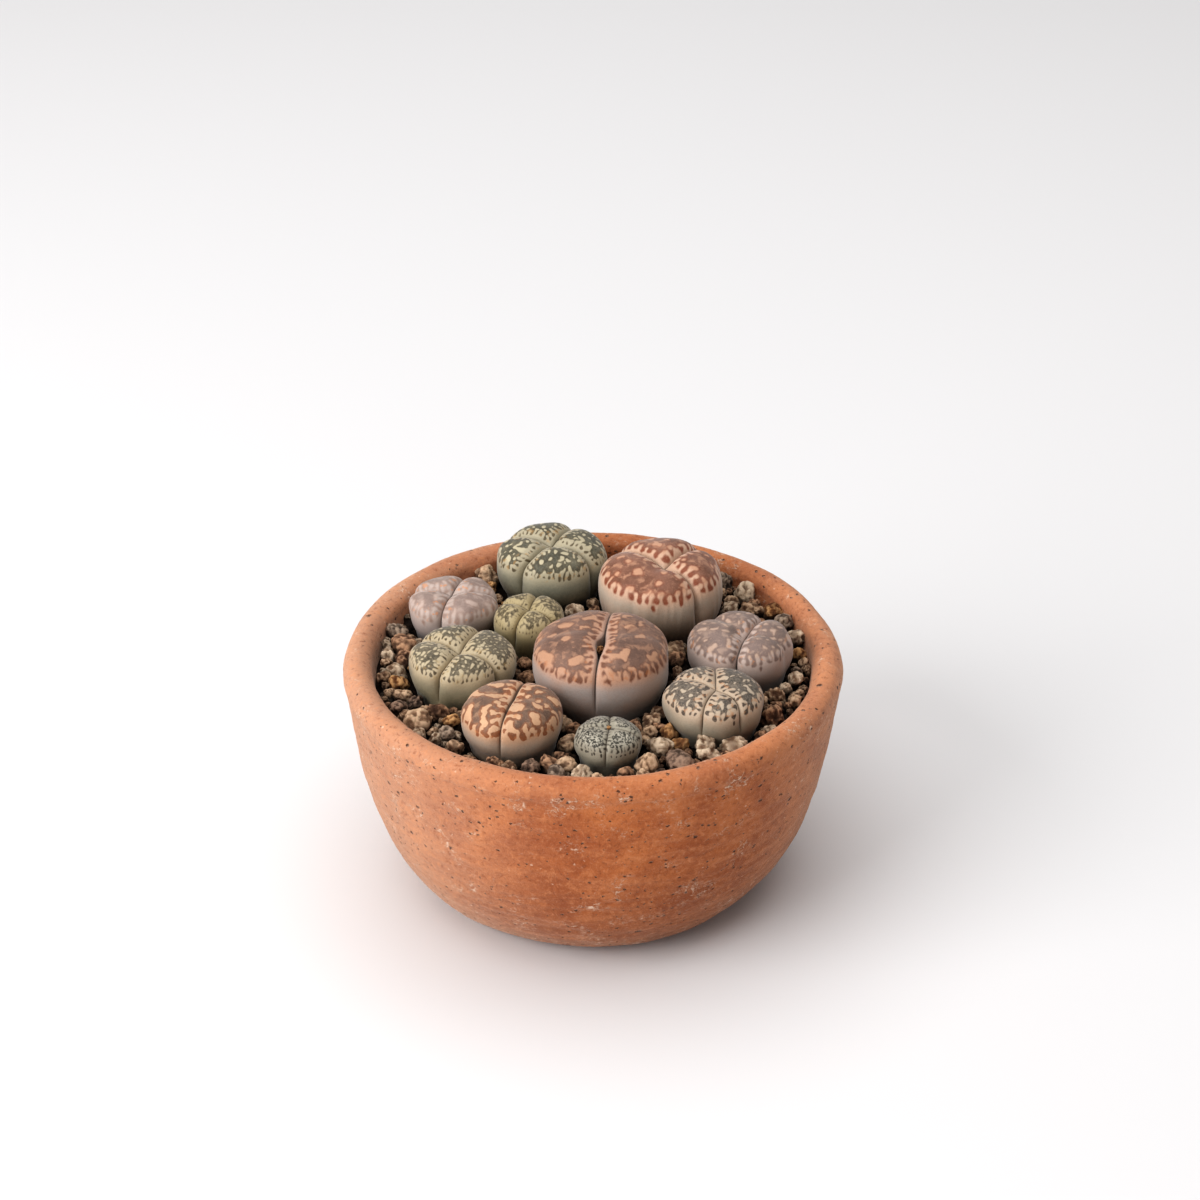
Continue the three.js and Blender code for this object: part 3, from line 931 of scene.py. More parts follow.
@dataclass(frozen=True)
class Markings:
    """How the windows of a head are drawn: dark, with fingers, bays and islands.

    Attributes:
        spacing: distance between fingers along a window's border.
        finger: longest reach of a finger beyond the border.
        bay: deepest reach of a pale bay inside it.
        inner: length of the fingers beside a crease, as a share of the others.
        width: radius of a finger as a share of the spacing.
        island: typical radius of an island.
        throws: how many islands are thrown, of which those that find room stay.
        crowd: least distance between islands, as a share of their radii together.
        stretch: half-length of an island as a share of its radius.
        chain: chance of an island having an arm.
        dots: chance of a loose dot beyond a finger.
        slant: how far fingers and bays lean by chance, in radians.
        warp: how far everything is bent out of true.
        deepening: how much longer everything is from front to back than across.
    """

    spacing: float = 1.8
    finger: float = 1.4
    bay: float = 1.9
    inner: float = 0.35
    width: float = 0.36
    island: float = 0.8
    throws: int = 500
    crowd: float = 1.5
    stretch: float = 0.5
    chain: float = 0.3
    dots: float = 0.1
    slant: float = 0.14
    warp: float = 0.3
    deepening: float = 1.15

    def ink(self, head: "Lithops", spots: np.ndarray, lobes: np.ndarray,
            edge: np.ndarray) -> np.ndarray:
        """How deep places lie inside the dark markings.

        Args:
            head: the head that is marked.
            spots: places on its flat map.
            lobes: lobe of each place.
            edge: how far each place lies inside its window.

        Returns:
            Millimetres inside, or below 0 outside.
        """
        draw = np.random.default_rng(1000 + head.seed)
        between = 7.0  # sets the lobes apart, so that each is bent in its own way
        flat = np.column_stack([spots * self._squeeze, between * lobes])
        bent = flat[:, :2] + self.warp * np.stack(
            [Ripple(head.seed + 200 + i, 4.0).at(flat)
             + 0.35 * Ripple(head.seed + 300 + i, 1.4).at(flat) for i in range(2)], -1)
        ink = edge.copy()
        for lobe in range(len(head.creases)):
            mine = (lobes == lobe) & (edge > -STROKE_REACH)
            fingers, bays, dots = self._border(draw, head, lobe)
            self._islands(draw, head, lobe, bays)
            here = bent[mine]
            dark = self._join(ink[mine], fingers.depth(here, 0.12), 0.25)
            dark = -self._join(-dark, bays.depth(here, 0.2), 0.15)
            ink[mine] = self._join(dark, dots.depth(here, 0.1), 0.1)
        return ink

    @property
    def _squeeze(self) -> np.ndarray:
        """Scale of the map on which the strokes are drawn."""
        return np.array([1.0, 1 / self.deepening])

    @staticmethod
    def _join(first: np.ndarray, second: np.ndarray, softness: float) -> np.ndarray:
        """The larger of two depths, with a soft change between them."""
        return softness * np.logaddexp(first / softness, second / softness)

    def _border(self, draw: np.random.Generator, head: "Lithops", lobe: int
                ) -> tuple[Strokes, Strokes, Strokes]:
        """Strokes along the border of a window.

        Args:
            draw: source of chance.
            head: the head that is marked.
            lobe: which of its lobes.

        Returns:
            Dark fingers, pale bays and loose dots.
        """
        fingers, bays, dots = Strokes(), Strokes(), Strokes()
        border, free = head.window_border(lobe)
        border = border * self._squeeze
        tangent = np.gradient(border, axis=0)
        outwards = np.stack([tangent[:, 1], -tangent[:, 0]], -1)
        outwards /= np.linalg.norm(outwards, axis=1, keepdims=True) + 1e-9
        run = np.concatenate([[0], np.cumsum(np.hypot(*np.diff(border, axis=0).T))])
        at = draw.uniform(0, self.spacing)
        while at < run[-1] - 0.4 * self.spacing:
            scale = self.inner + (1 - self.inner) * np.interp(at, run, free)
            place, lean = self._stem(draw, run, border, outwards, at)
            reach = self.finger * scale * draw.uniform(-0.3, 1.0)
            radius = self.spacing * self.width * draw.uniform(0.75, 1.2)
            # a finger is a shaft from inside the window with a rounder tip
            fingers.add(place - 1.5 * lean, place + reach * lean, radius * 0.88)
            fingers.add(place + reach * lean, place + (reach - 0.2) * lean, radius * 1.15)
            if draw.random() < self.dots * scale:
                spot = place + (reach + 2.0 * radius + draw.uniform(0.1, 0.4)) * lean
                dots.add(spot, spot + 0.05 * lean, radius * draw.uniform(0.5, 0.85))
            step = self.spacing * draw.uniform(0.72, 1.3)
            place, lean = self._stem(draw, run, border, outwards, at + step / 2)
            depth = self.bay * scale * draw.random() ** 1.2
            # a bay is a channel in from outside, wider at its end
            bays.add(place + 3.0 * lean, place - depth * lean,
                     self.spacing * 0.17 * draw.uniform(0.7, 1.3))
            bays.add(place - depth * lean, place - (depth + 0.25) * lean,
                     self.spacing * 0.23 * draw.uniform(0.8, 1.4))
            at += step
        return fingers, bays, dots

    def _stem(self, draw: np.random.Generator, run: np.ndarray, border: np.ndarray,
              outwards: np.ndarray, at: float) -> tuple[np.ndarray, np.ndarray]:
        """Place at a distance along a border, and the way out of it, leaning by chance."""
        place, out = (np.array([np.interp(at, run, column) for column in table.T])
                      for table in (border, outwards))
        return place, self._lean(draw, out, self.slant)

    @staticmethod
    def _lean(draw: np.random.Generator, way: np.ndarray, spread: float) -> np.ndarray:
        """A direction turned a little by chance."""
        turn = draw.normal(0, spread)
        cos, sin = math.cos(turn), math.sin(turn)
        return np.array([cos * way[0] - sin * way[1], sin * way[0] + cos * way[1]])

    def _islands(self, draw: np.random.Generator, head: "Lithops", lobe: int,
                 pale: Strokes) -> None:
        """Adds pale islands inside a window, mostly pointing away from the middle."""
        border = head.window_border(lobe)[0] * self._squeeze
        centre = border.mean(0)
        taken: list[tuple[np.ndarray, float]] = []
        for _ in range(self.throws):
            spot = centre + (border[draw.integers(len(border))] - centre) * math.sqrt(
                draw.random())
            radius = self.island * draw.uniform(0.45, 1.3)
            inside = float(head.window_edge(spot[None] / self._squeeze, np.array([lobe]))[0])
            if inside < 0.3 + 0.5 * radius or any(
                    np.hypot(*(spot - other)) < self.crowd * (radius + size)
                    for other, size in taken):
                continue
            taken.append((spot, radius))
            away = self._lean(draw, spot / (np.hypot(*spot) + 1e-6), 0.5)
            half = self.stretch * radius * draw.uniform(0.1, 1.3)
            pale.add(spot - half * away, spot + half * away, 0.62 * radius)
            if draw.random() < self.chain:
                arm = self._lean(draw, away, 1.2)
                pale.add(spot + half * away, spot + half * away + 1.5 * radius * arm,
                         0.5 * radius)


@dataclass
class Lithops:
    """One head of a living stone, with its buried body and root.

    Attributes:
        clefts: its clefts, in turn round the middle.
        middle: where they meet, measured from the centre.
        cleft_depth: how far the cushions sink at a cleft, as a share of half the width.
        seam: height up the side where the creases begin, as a share of the height.
        window_reach: reach of the windows, as a share of the outline.
        window_margin: width of the pale band beside a crease.
        squareness: power of the oval of its dome's section, where 2 is an ellipse.
        girth: height of its widest place, as a share of the height.
        neck_width: reach of the narrow neck above the root, as a share of the outline.
        cleft_width: how far from a cleft the cushions start to sink, as a share.
    """

    name: str
    x: float
    y: float
    half_width: float
    half_depth: float
    height: float
    clefts: tuple[Cleft, ...]
    middle: tuple[float, float]
    skin: Skin
    markings: Markings
    foot: float = 0.88
    gap: Gap | None = None
    cleft_depth: float = 0.13
    swell: float = 0.25
    wrinkle: float = 0.0
    seam: float = 0.1
    seed: int = 1
    window_reach: float = 0.95
    window_margin: float = 1.5
    grit_level: float = 69.5
    squareness: float = 2.8
    girth: float = 0.42
    neck_depth: float = 13.0
    neck_width: float = 0.3
    root_depth: float = 27.0
    root_radius: float = 0.9
    cleft_width: float = 0.4
    saddle: float = 1.2
    roll_depth: float = 0.75
    fineness: float = 0.3

    @property
    def creases(self) -> list[Cleft]:
        """The clefts that have a crease and so part one window from the next."""
        return [cleft for cleft in self.clefts if cleft.roll > 0]

    @property
    def mean_radius(self) -> float:
        """Half the mean width of the head."""
        return (self.half_width + self.half_depth) / 2

    def outline(self, azimuth: np.ndarray) -> tuple[np.ndarray, np.ndarray]:
        """Where rays from the middle cross the outline.

        Args:
            azimuth: directions of the rays, in radians.

        Returns:
            The angles on the outline's oval, in radians, and the distances.
        """
        mx, my = self.middle
        dx, dy = np.cos(azimuth), np.sin(azimuth)
        wide, deep = self.half_width, self.half_depth
        a = (dx / wide) ** 2 + (dy / deep) ** 2
        b = mx * dx / wide ** 2 + my * dy / deep ** 2
        c = (mx / wide) ** 2 + (my / deep) ** 2 - 1
        reach = (-b + np.sqrt(b * b - a * c)) / a
        return np.arctan2((my + reach * dy) / deep, (mx + reach * dx) / wide), reach

    def columns(self) -> tuple[np.ndarray, np.ndarray]:
        """Grid lines of the head, closer together beside the creases.

        Returns:
            Their angles on the outline's oval, and the lobe that each belongs to.
        """
        azimuths = np.radians([cleft.azimuth for cleft in self.creases])
        starts, _ = self.outline(azimuths)
        angles, lobes = [], []
        for i, start in enumerate(starts):
            span = (starts[(i + 1) % len(starts)] - start) % TAU
            count = round(self.half_width * 6.2 / self.fineness * span / TAU)
            way = np.linspace(0, 1, count, endpoint=False)
            angles.append(start + span * (way - 0.1 * np.sin(TAU * way)))
            lobes.append(np.full(count, i))
        return np.concatenate(angles), np.concatenate(lobes)

    def meridian(self) -> tuple[np.ndarray, np.ndarray, np.ndarray]:
        """The head's section from the apex down to the grit, in fine steps.

        Returns:
            Reach as a share of the outline, height above the grit, and distance from the
            apex along the surface.
        """
        turn = np.linspace(0, math.pi / 2, DOME_STEPS)
        reach = np.sin(turn) ** (2 / self.squareness)
        rise = np.clip(np.cos(turn), 0, 1) ** (2 / self.squareness)
        girth = self.girth * self.height
        way = np.linspace(0, 1, SIDE_STEPS)[1:]
        reach = np.concatenate([reach, 1 - (1 - self.foot) * way ** 2])
        height = np.concatenate([girth + (self.height - girth) * rise, girth * (1 - way)])
        run = np.concatenate([[0], np.cumsum(np.hypot(
            np.diff(reach) * self.mean_radius, np.diff(height)))])
        return reach, height, run

    def rings(self) -> np.ndarray:
        """Rings of the head from near the apex down to the root.

        Returns:
            Rows of reach, height above the grit and distance from the apex.
        """
        reach, height, run = self.meridian()
        at = np.linspace(0, run[-1], round(run[-1] / self.fineness) + 1)[1:]
        seen = np.stack([np.interp(at, run, reach), np.interp(at, run, height), at], -1)
        root = self.root_radius / self.half_width
        buried = np.array([
            [self.foot * 0.94 + self.neck_width * 0.06, -0.2 * self.neck_depth],
            [self.foot * 0.78 + self.neck_width * 0.22, -0.45 * self.neck_depth],
            [self.foot * 0.45 + self.neck_width * 0.55, -0.72 * self.neck_depth],
            [self.neck_width, -self.neck_depth],
            [root, -self.root_depth + 1]])
        below = run[-1] - buried[:, 1]
        return np.concatenate([seen, np.column_stack([buried, below])])

    def distances(self, dx: np.ndarray, dy: np.ndarray) -> list[np.ndarray]:
        """Distance of places from each cleft, or below 0 inside the open gap."""
        found = []
        for cleft in self.clefts:
            along, left = measured(dx, dy, cleft.azimuth)
            found.append(np.where(along > 0, np.abs(left), np.hypot(dx, dy)))
            if self.gap and self.gap.holds(cleft):
                found[-1] = found[-1] - self.gap.width(dx, dy)
        return found

    def crease_distances(self, dx: np.ndarray, dy: np.ndarray) -> np.ndarray:
        """Distance of places from each crease, one row for each."""
        return np.array([found for found, cleft in zip(self.distances(dx, dy), self.clefts)
                         if cleft.roll > 0])

    def window_edge(self, spots: np.ndarray, lobes: np.ndarray) -> np.ndarray:
        """How far places on the flat map lie inside their lobe's window.

        Args:
            spots: places on the map, measured from the middle.
            lobes: lobe of each place.

        Returns:
            Millimetres inside, or below 0 outside.
        """
        reach, _, run = self.meridian()
        azimuth = np.arctan2(spots[:, 1], spots[:, 0])
        border = np.interp(self.window_reach, reach[:DOME_STEPS], run[:DOME_STEPS])
        outer = border * self.outline(azimuth)[1] / self.mean_radius - np.hypot(*spots.T)
        gaps = self.crease_distances(spots[:, 0], spots[:, 1])
        rows = np.arange(len(spots))
        before = gaps[lobes, rows] - self.window_margin
        after = gaps[(lobes + 1) % len(gaps), rows] - self.window_margin
        sharp = 2.0  # how sharp the corners of a window are
        total = sum(np.exp(np.clip(-sharp * part, -POWER_LIMIT, POWER_LIMIT))
                    for part in (outer, before, after))
        return -np.log(total) / sharp

    def window_border(self, lobe: int) -> tuple[np.ndarray, np.ndarray]:
        """Traces the border of a lobe's window on the flat map.

        Args:
            lobe: which lobe.

        Returns:
            Points of the border, and 1 where it is the outer one or 0 beside a crease.
        """
        starts = [cleft.azimuth for cleft in self.creases]
        span = (starts[(lobe + 1) % len(starts)] - starts[lobe]) % 360
        way = math.radians(starts[lobe] + span / 2)
        centre = 0.5 * self.mean_radius * np.array([math.cos(way), math.sin(way)])
        angle = np.linspace(0, TAU, BORDER_RAYS)
        steps = np.linspace(0, 1.6 * self.mean_radius, BORDER_STEPS)
        rays = np.stack([np.cos(angle), np.sin(angle)], -1)
        spots = centre + rays[:, None] * steps[None, :, None]
        number = np.full(spots.shape[:2], lobe).ravel()
        edge = self.window_edge(spots.reshape(-1, 2), number).reshape(spots.shape[:2])
        first = np.argmax(edge < 0, axis=1)
        border = centre + rays * steps[first][:, None]
        gaps = np.min(self.crease_distances(border[:, 0], border[:, 1]), axis=0)
        return border, smooth(gaps - self.window_margin, 0.3, 1.6)

    def build(self) -> bpy.types.Object:
        """Makes the head's mesh, with the fields that its skin follows.

        Returns:
            The head.
        """
        angles, lobes = self.columns()
        rings = self.rings()
        turn, part = np.meshgrid(angles, rings[:, 0])
        rise = np.broadcast_to(rings[:, 1:2], turn.shape)
        points, cleft = self._surface(turn, part, rise)
        flat = np.stack(self._offsets(angles, 1.0), -1)[None] / self.mean_radius
        spots = (flat * rings[:, 2, None, None]).reshape(-1, 2)
        lobe = np.broadcast_to(lobes, turn.shape).ravel()
        edge = self.window_edge(spots, lobe)
        ink = self.markings.ink(self, spots, lobe, edge)
        apex, _ = self._surface(np.zeros((1, 1)), np.zeros((1, 1)),
                                np.full((1, 1), self.height))
        tip = np.array([[*self.middle, -self.root_depth]])
        corners = np.concatenate([apex.reshape(1, 3), points.reshape(-1, 3), tip])
        fields = {
            "edge": np.concatenate([[-self.window_margin], edge, [FAR_OUTSIDE]]),
            "ink": np.concatenate([[-1], ink, [FAR_OUTSIDE]]),
            "cleft": np.concatenate([[0], cleft.ravel(), [FAR_FROM_CREASE]]),
            "height": np.clip(corners[:, 2] / self.height, 0, 1),
        }
        return add_mesh(self.name, corners + (self.x, self.y, self.grit_level),
                        capped_faces(*turn.shape), fields)

    def _surface(self, turn: np.ndarray, part: np.ndarray, rise: np.ndarray
                 ) -> tuple[np.ndarray, np.ndarray]:
        """Points of the head about its own centre.

        Args:
            turn: angles on the outline's oval.
            part: reach from the middle, as a share of the outline.
            rise: heights above the grit.

        Returns:
            The points, and their distance from the nearest crease.
        """
        dx, dy = self._offsets(turn, part)
        fade = np.clip(rise / (self.girth * self.height), 0, 1) ** 0.7
        sunk, rolled, crease = self._sunk(dx, dy)
        flat = np.stack([dx, dy, rise], -1).reshape(-1, 3)
        uneven = self.swell * Ripple(self.seed, 0.8 * self.half_width).at(flat)
        uneven = uneven.reshape(rise.shape)
        around, upright = 9, 0.05  # the folds are fine round the side and long up it
        ways = np.stack([around * np.cos(turn), around * np.sin(turn), upright * rise],
                        -1).reshape(-1, 3)
        folds = (Ripple(self.seed + 90, 1.5).at(ways)
                 + 0.6 * Ripple(self.seed + 91, 0.7).at(ways)).reshape(rise.shape)
        side = smooth(part, 0.72, 0.97)
        sunk = sunk * fade + rolled * smooth(rise / self.height, self.seam, self.seam + 0.45)
        sunk = sunk - (uneven * smooth(crease, 0.0, 3.0) + self.wrinkle * folds * side)

        bent = turn + self._bend(turn) * np.sin(math.pi * np.clip(part, 0, 1))
        power = self.squareness - 1
        above = np.clip((rise / self.height - self.girth) / (1 - self.girth), 0, 1)
        outwards = np.stack([np.cos(bent) * part ** power / self.half_width,
                             np.sin(bent) * part ** power / self.half_depth,
                             above ** power / self.height], -1)
        outwards /= np.linalg.norm(outwards, axis=-1, keepdims=True)
        dx, dy = self._offsets(bent, part)
        points = np.stack([self.middle[0] + dx, self.middle[1] + dy, rise], -1)
        return points - outwards * sunk[..., None], crease

    def _offsets(self, turn: np.ndarray, part: "np.ndarray | float"
                 ) -> tuple[np.ndarray, np.ndarray]:
        """Offsets from the middle, a share of the way to angles on the outline's oval."""
        return (part * (self.half_width * np.cos(turn) - self.middle[0]),
                part * (self.half_depth * np.sin(turn) - self.middle[1]))

    def _bend(self, turn: np.ndarray) -> np.ndarray:
        """How far the clefts bow sideways at each angle, in radians."""
        starts, _ = self.outline(np.radians([cleft.azimuth for cleft in self.creases]))
        bends = np.radians([cleft.bend for cleft in self.creases])
        order = np.argsort(starts % TAU)
        return np.interp(turn % TAU, (starts % TAU)[order], bends[order], period=TAU)

    def _sunk(self, dx: np.ndarray, dy: np.ndarray
              ) -> tuple[np.ndarray, np.ndarray, np.ndarray]:
        """How the clefts shape the surface.

        Returns:
            How far the cushions sink, how far the creases sink more, and the distance to
            the nearest crease.
        """
        level = np.ones_like(dx)
        rolled = np.zeros_like(dx)
        nearest = np.full_like(dx, FAR_FROM_CREASE)
        for cleft, found in zip(self.clefts, self.distances(dx, dy)):
            distance = np.maximum(found, 0)
            soft = 0.0 if cleft.roll > 0 else self.saddle
            share = np.hypot(distance, soft) / (self.cleft_width * self.half_width)
            drop = 1 - np.sqrt(1 - (1 - np.clip(share, 0, 1)) ** 2)
            level = level * (1 - cleft.pillow * drop)
            if cleft.roll > 0:
                inside = 1 - np.clip(distance / cleft.roll, 0, 1)
                roll = self.roll_depth * cleft.roll * (1 - np.sqrt(1 - inside ** 2))
                if self.gap:
                    roll = roll + self.gap.depth * smooth(-found, 0.0, 0.5)
                rolled = np.maximum(rolled, roll)
                nearest = np.minimum(nearest, distance)
        return self.cleft_depth * self.half_width * (1 - level), rolled, nearest

    def dress(self, piece: bpy.types.Object) -> None:
        """Gives the head its skin and its place in the part."""
        dress_piece(piece, self.skin, self.name.replace("head_", "lithops_"))

    def outside(self, x: np.ndarray, y: np.ndarray) -> np.ndarray:
        """Distance of places outside the head's outline, in millimetres, about."""
        share = np.hypot((x - self.x) / self.half_width, (y - self.y) / self.half_depth)
        return (share - 1) * self.half_width


# ------------------------------------------------------------------- top dressing


class Kind(Enum):
    """Kinds of stone in the top dressing."""

    PUMICE = "pumice"
    TAN = "tan"
    AKADAMA = "akadama"
    OCHRE = "ochre"
    LAVA = "lava"
    SLATE = "slate"


GRIT_FINISHES = {
    kind: GritFinish(f"grit_{kind.value}", srgb(*colour), srgb(*light), srgb(*dark), pores)
    for kind, colour, light, dark, pores in (
        (Kind.PUMICE, (215, 184, 150), (252, 228, 200), (102, 68, 46), 0.8),
        (Kind.TAN, (184, 142, 107), (240, 206, 172), (76, 47, 32), 0.8),
        (Kind.AKADAMA, (152, 108, 82), (222, 176, 140), (54, 33, 23), 0.7),
        (Kind.OCHRE, (188, 128, 76), (238, 188, 132), (86, 48, 26), 0.7),
        (Kind.LAVA, (116, 91, 77), (188, 156, 134), (40, 28, 22), 0.9),
        (Kind.SLATE, (136, 116, 101), (202, 178, 156), (56, 43, 36), 0.6))}


@dataclass(frozen=True)
class Stone:
    """One stone of the top dressing."""

    x: float
    y: float
    z: float
    radius: float
    kind: Kind
    form: int
    fine: bool = True


@dataclass(frozen=True)
class Layer:
    """How one layer of stones is thrown at the bed.

    Attributes:
        tries: how many stones are thrown.
        level: height of their middles above the bed.
        loose: how much that varies.
        spacing: least distance between stones, as a share of their radii together.
        inset: how far they keep from the heads, as a share of their radius.
        hidden: whether they lie below the others, with few faces and in nobody's way.
    """

    tries: int
    smallest: float
    largest: float
    level: float
    loose: float
    spacing: float
    inset: float
    hidden: bool = False


@dataclass
class TopDressing:
    """The loose grit stones round the heads, over a near-black bed of dark mix that is painted
    shade in the gaps.

    Attributes:
        wall: inside radius of the bowl at the bed.
        wall_room: how far stones keep from the wall, as a share of their radius.
        bed_foot: height of the bed's underside, on the mix.
        bed_gap: how far the bed keeps from the wall.
        landmark_level: height of the placed stones above the bed.
        left_shares: share of each kind at the left end.
        right_shares: share of each kind at the right.
        left_end: where the left shares end, in millimetres from the middle.
        change: how far to the right of that the right shares begin.
    """

    heads: Sequence[Lithops]
    wall: float = 65.6
    wall_room: float = 0.95
    bed_level: float = 66.0
    bed_foot: float = 60.85
    bed_gap: float = 0.3
    landmark_level: float = 3.2
    layers: tuple[Layer, ...] = (Layer(9000, 1.9, 3.2, 2.8, 0.35, 0.92, 0.45),
                                 Layer(7000, 1.0, 1.7, 2.4, 0.4, 0.92, 0.4),
                                 Layer(6000, 1.8, 2.6, -0.1, 0.3, 0.8, 0.1, hidden=True))
    forms: int = 18
    hollows: int = 22
    seed: int = 23
    left_shares: tuple[float, ...] = (0.40, 0.36, 0.15, 0.05, 0.02, 0.02)
    right_shares: tuple[float, ...] = (0.18, 0.36, 0.28, 0.10, 0.05, 0.03)
    left_end: float = -45.0
    change: float = 70.0
    # near-black bed: painted shade in the gaps between the stones
    bed_finish: SoilFinish = SoilFinish("grit_bed", srgb(26, 18, 14), srgb(58, 42, 32))

    def landmarks(self) -> list[Stone]:
        """The stones that stand out, each where it lies."""
        placed = [
            (19.2, -46.3, 3.9, Kind.PUMICE), (22.5, -38.8, 2.6, Kind.OCHRE),
            (15.6, -55.1, 3.2, Kind.TAN), (24.8, -53.6, 4.1, Kind.LAVA),
            (32.2, -44.4, 2.9, Kind.PUMICE), (33.0, -49.6, 3.1, Kind.PUMICE),
            (41.4, -44.8, 3.7, Kind.PUMICE), (52.9, -29.6, 3.8, Kind.AKADAMA),
            (54.2, -18.4, 2.8, Kind.TAN), (47.0, 42.3, 3.6, Kind.PUMICE),
            (49.4, 31.6, 3.1, Kind.TAN), (55.6, 31.2, 3.1, Kind.OCHRE),
            (58.4, 24.6, 2.8, Kind.SLATE), (41.0, 48.6, 2.6, Kind.SLATE),
            (25.6, 8.6, 2.8, Kind.TAN), (62.0, 15.9, 3.3, Kind.PUMICE),
            (17.4, -31.6, 2.6, Kind.TAN), (12.4, -34.8, 2.4, Kind.AKADAMA),
            (16.0, -38.0, 2.4, Kind.TAN), (-33.4, 52.4, 4.0, Kind.TAN),
            (-59.4, 19.0, 3.0, Kind.SLATE), (-57.6, 10.6, 4.0, Kind.AKADAMA),
            (-58.4, -2.8, 2.8, Kind.PUMICE), (-57.6, -11.2, 2.8, Kind.OCHRE),
            (-50.4, -33.0, 3.8, Kind.TAN), (-55.8, -17.4, 2.5, Kind.TAN),
            (-41.0, -32.6, 2.4, Kind.OCHRE), (-42.4, -38.5, 2.4, Kind.SLATE),
            (-39.9, -45.9, 2.7, Kind.TAN), (-45.4, -27.4, 2.9, Kind.AKADAMA),
            (-57.0, -24.2, 2.8, Kind.LAVA), (-28.4, -55.0, 2.5, Kind.AKADAMA),
            (-23.1, -57.2, 2.4, Kind.TAN), (-18.0, -57.0, 2.3, Kind.LAVA),
            (-12.8, -53.8, 2.6, Kind.AKADAMA), (-10.4, -59.2, 2.5, Kind.SLATE),
            (-2.9, -60.6, 2.9, Kind.PUMICE), (-7.0, -44.0, 2.9, Kind.TAN),
            (-20.6, 0.6, 2.4, Kind.AKADAMA), (-19.8, -7.6, 2.4, Kind.AKADAMA),
            (-4.8, -35.6, 2.4, Kind.AKADAMA),
        ]
        wedged = [Stone(2.7, -17.2, 85.2, 1.35, Kind.OCHRE, 4),
                  Stone(4.8, -48.3, 78.0, 0.55, Kind.OCHRE, 7)]
        return wedged + [
            Stone(x, y, self.bed_level + self.landmark_level, radius, kind, i % self.forms)
            for i, (x, y, radius, kind) in enumerate(placed)]

    def stones(self) -> list[Stone]:
        """All the stones: landmarks, then the top layer, small infill and the layer below."""
        draw = np.random.default_rng(self.seed)
        stones = self.landmarks()
        for layer in self.layers:
            self._throw(layer, draw, stones)
        return stones

    def _throw(self, layer: Layer, draw: np.random.Generator, stones: list[Stone]) -> None:
        """Throws a layer of stones at the bed and keeps those that find room.

        Args:
            layer: how they are thrown.
            draw: source of chance.
            stones: the stones so far, to which the new ones are added.
        """
        kinds = list(Kind)
        rivals = [] if layer.hidden else stones
        places = np.array([(other.x, other.y, other.radius) for other in rivals]).reshape(-1, 3)
        for _ in range(layer.tries):
            radius = layer.smallest + (layer.largest - layer.smallest) * draw.random() ** 1.6
            turn = draw.random() * TAU
            reach = (self.wall - radius * self.wall_room) * math.sqrt(draw.random())
            x, y = reach * math.cos(turn), reach * math.sin(turn)
            way = np.clip((x - self.left_end) / self.change, 0, 1)
            odds = np.add(np.multiply(self.left_shares, 1 - way),
                          np.multiply(self.right_shares, way))
            lift, form, kind = draw.normal(), draw.integers(self.forms), draw.choice(
                len(kinds), p=odds / odds.sum())
            if any(head.outside(x, y) < radius * layer.inset for head in self.heads):
                continue
            gap = np.hypot(places[:, 0] - x, places[:, 1] - y)
            if np.any(gap < layer.spacing * (places[:, 2] + radius)):
                continue
            places = np.vstack([places, (x, y, radius)])
            stones.append(Stone(x, y, self.bed_level + layer.level + layer.loose * lift, radius,
                                kinds[kind], int(form), not layer.hidden))

    def build(self) -> list[tuple[Kind, bpy.types.Object]]:
        """Makes one mesh for each kind of stone.

        Returns:
            The kinds with their meshes.
        """
        library = {fine: [self._form(i, fine) for i in range(self.forms)]
                   for fine in (True, False)}
        draw = np.random.default_rng(self.seed + 1)
        batches: dict[Kind, list[tuple]] = {kind: [] for kind in Kind}
        for stone in self.stones():
            points, faces, crease, crest = library[stone.fine][stone.form]
            turn = self._turn(draw)
            squash = 1 + draw.uniform(-0.14, 0.14, 3)
            placed = (points * squash) @ turn.T * stone.radius + (stone.x, stone.y, stone.z)
            tint = np.full(len(points), draw.random())
            batches[stone.kind].append((placed, faces, crease, tint, crest))
        return [(kind, self._join(kind, batch)) for kind, batch in batches.items() if batch]

    @staticmethod
    def _join(kind: Kind, batch: list[tuple]) -> bpy.types.Object:
        """Joins the stones of a kind into one mesh."""
        points, faces, *fields = zip(*batch)
        starts = np.cumsum([0] + [len(block) for block in points[:-1]])
        return add_mesh(f"grit_{kind.value}", np.concatenate(points),
                        [np.concatenate([block + start for block, start in zip(faces, starts)])],
                        {key: np.concatenate(blocks)
                         for key, blocks in zip(("crease", "tint", "crest"), fields)})

    @staticmethod
    def _turn(draw: np.random.Generator) -> np.ndarray:
        """A random turn in space."""
        basis, _ = np.linalg.qr(draw.normal(size=(3, 3)))
        return basis * (1 if np.linalg.det(basis) > 0 else -1)

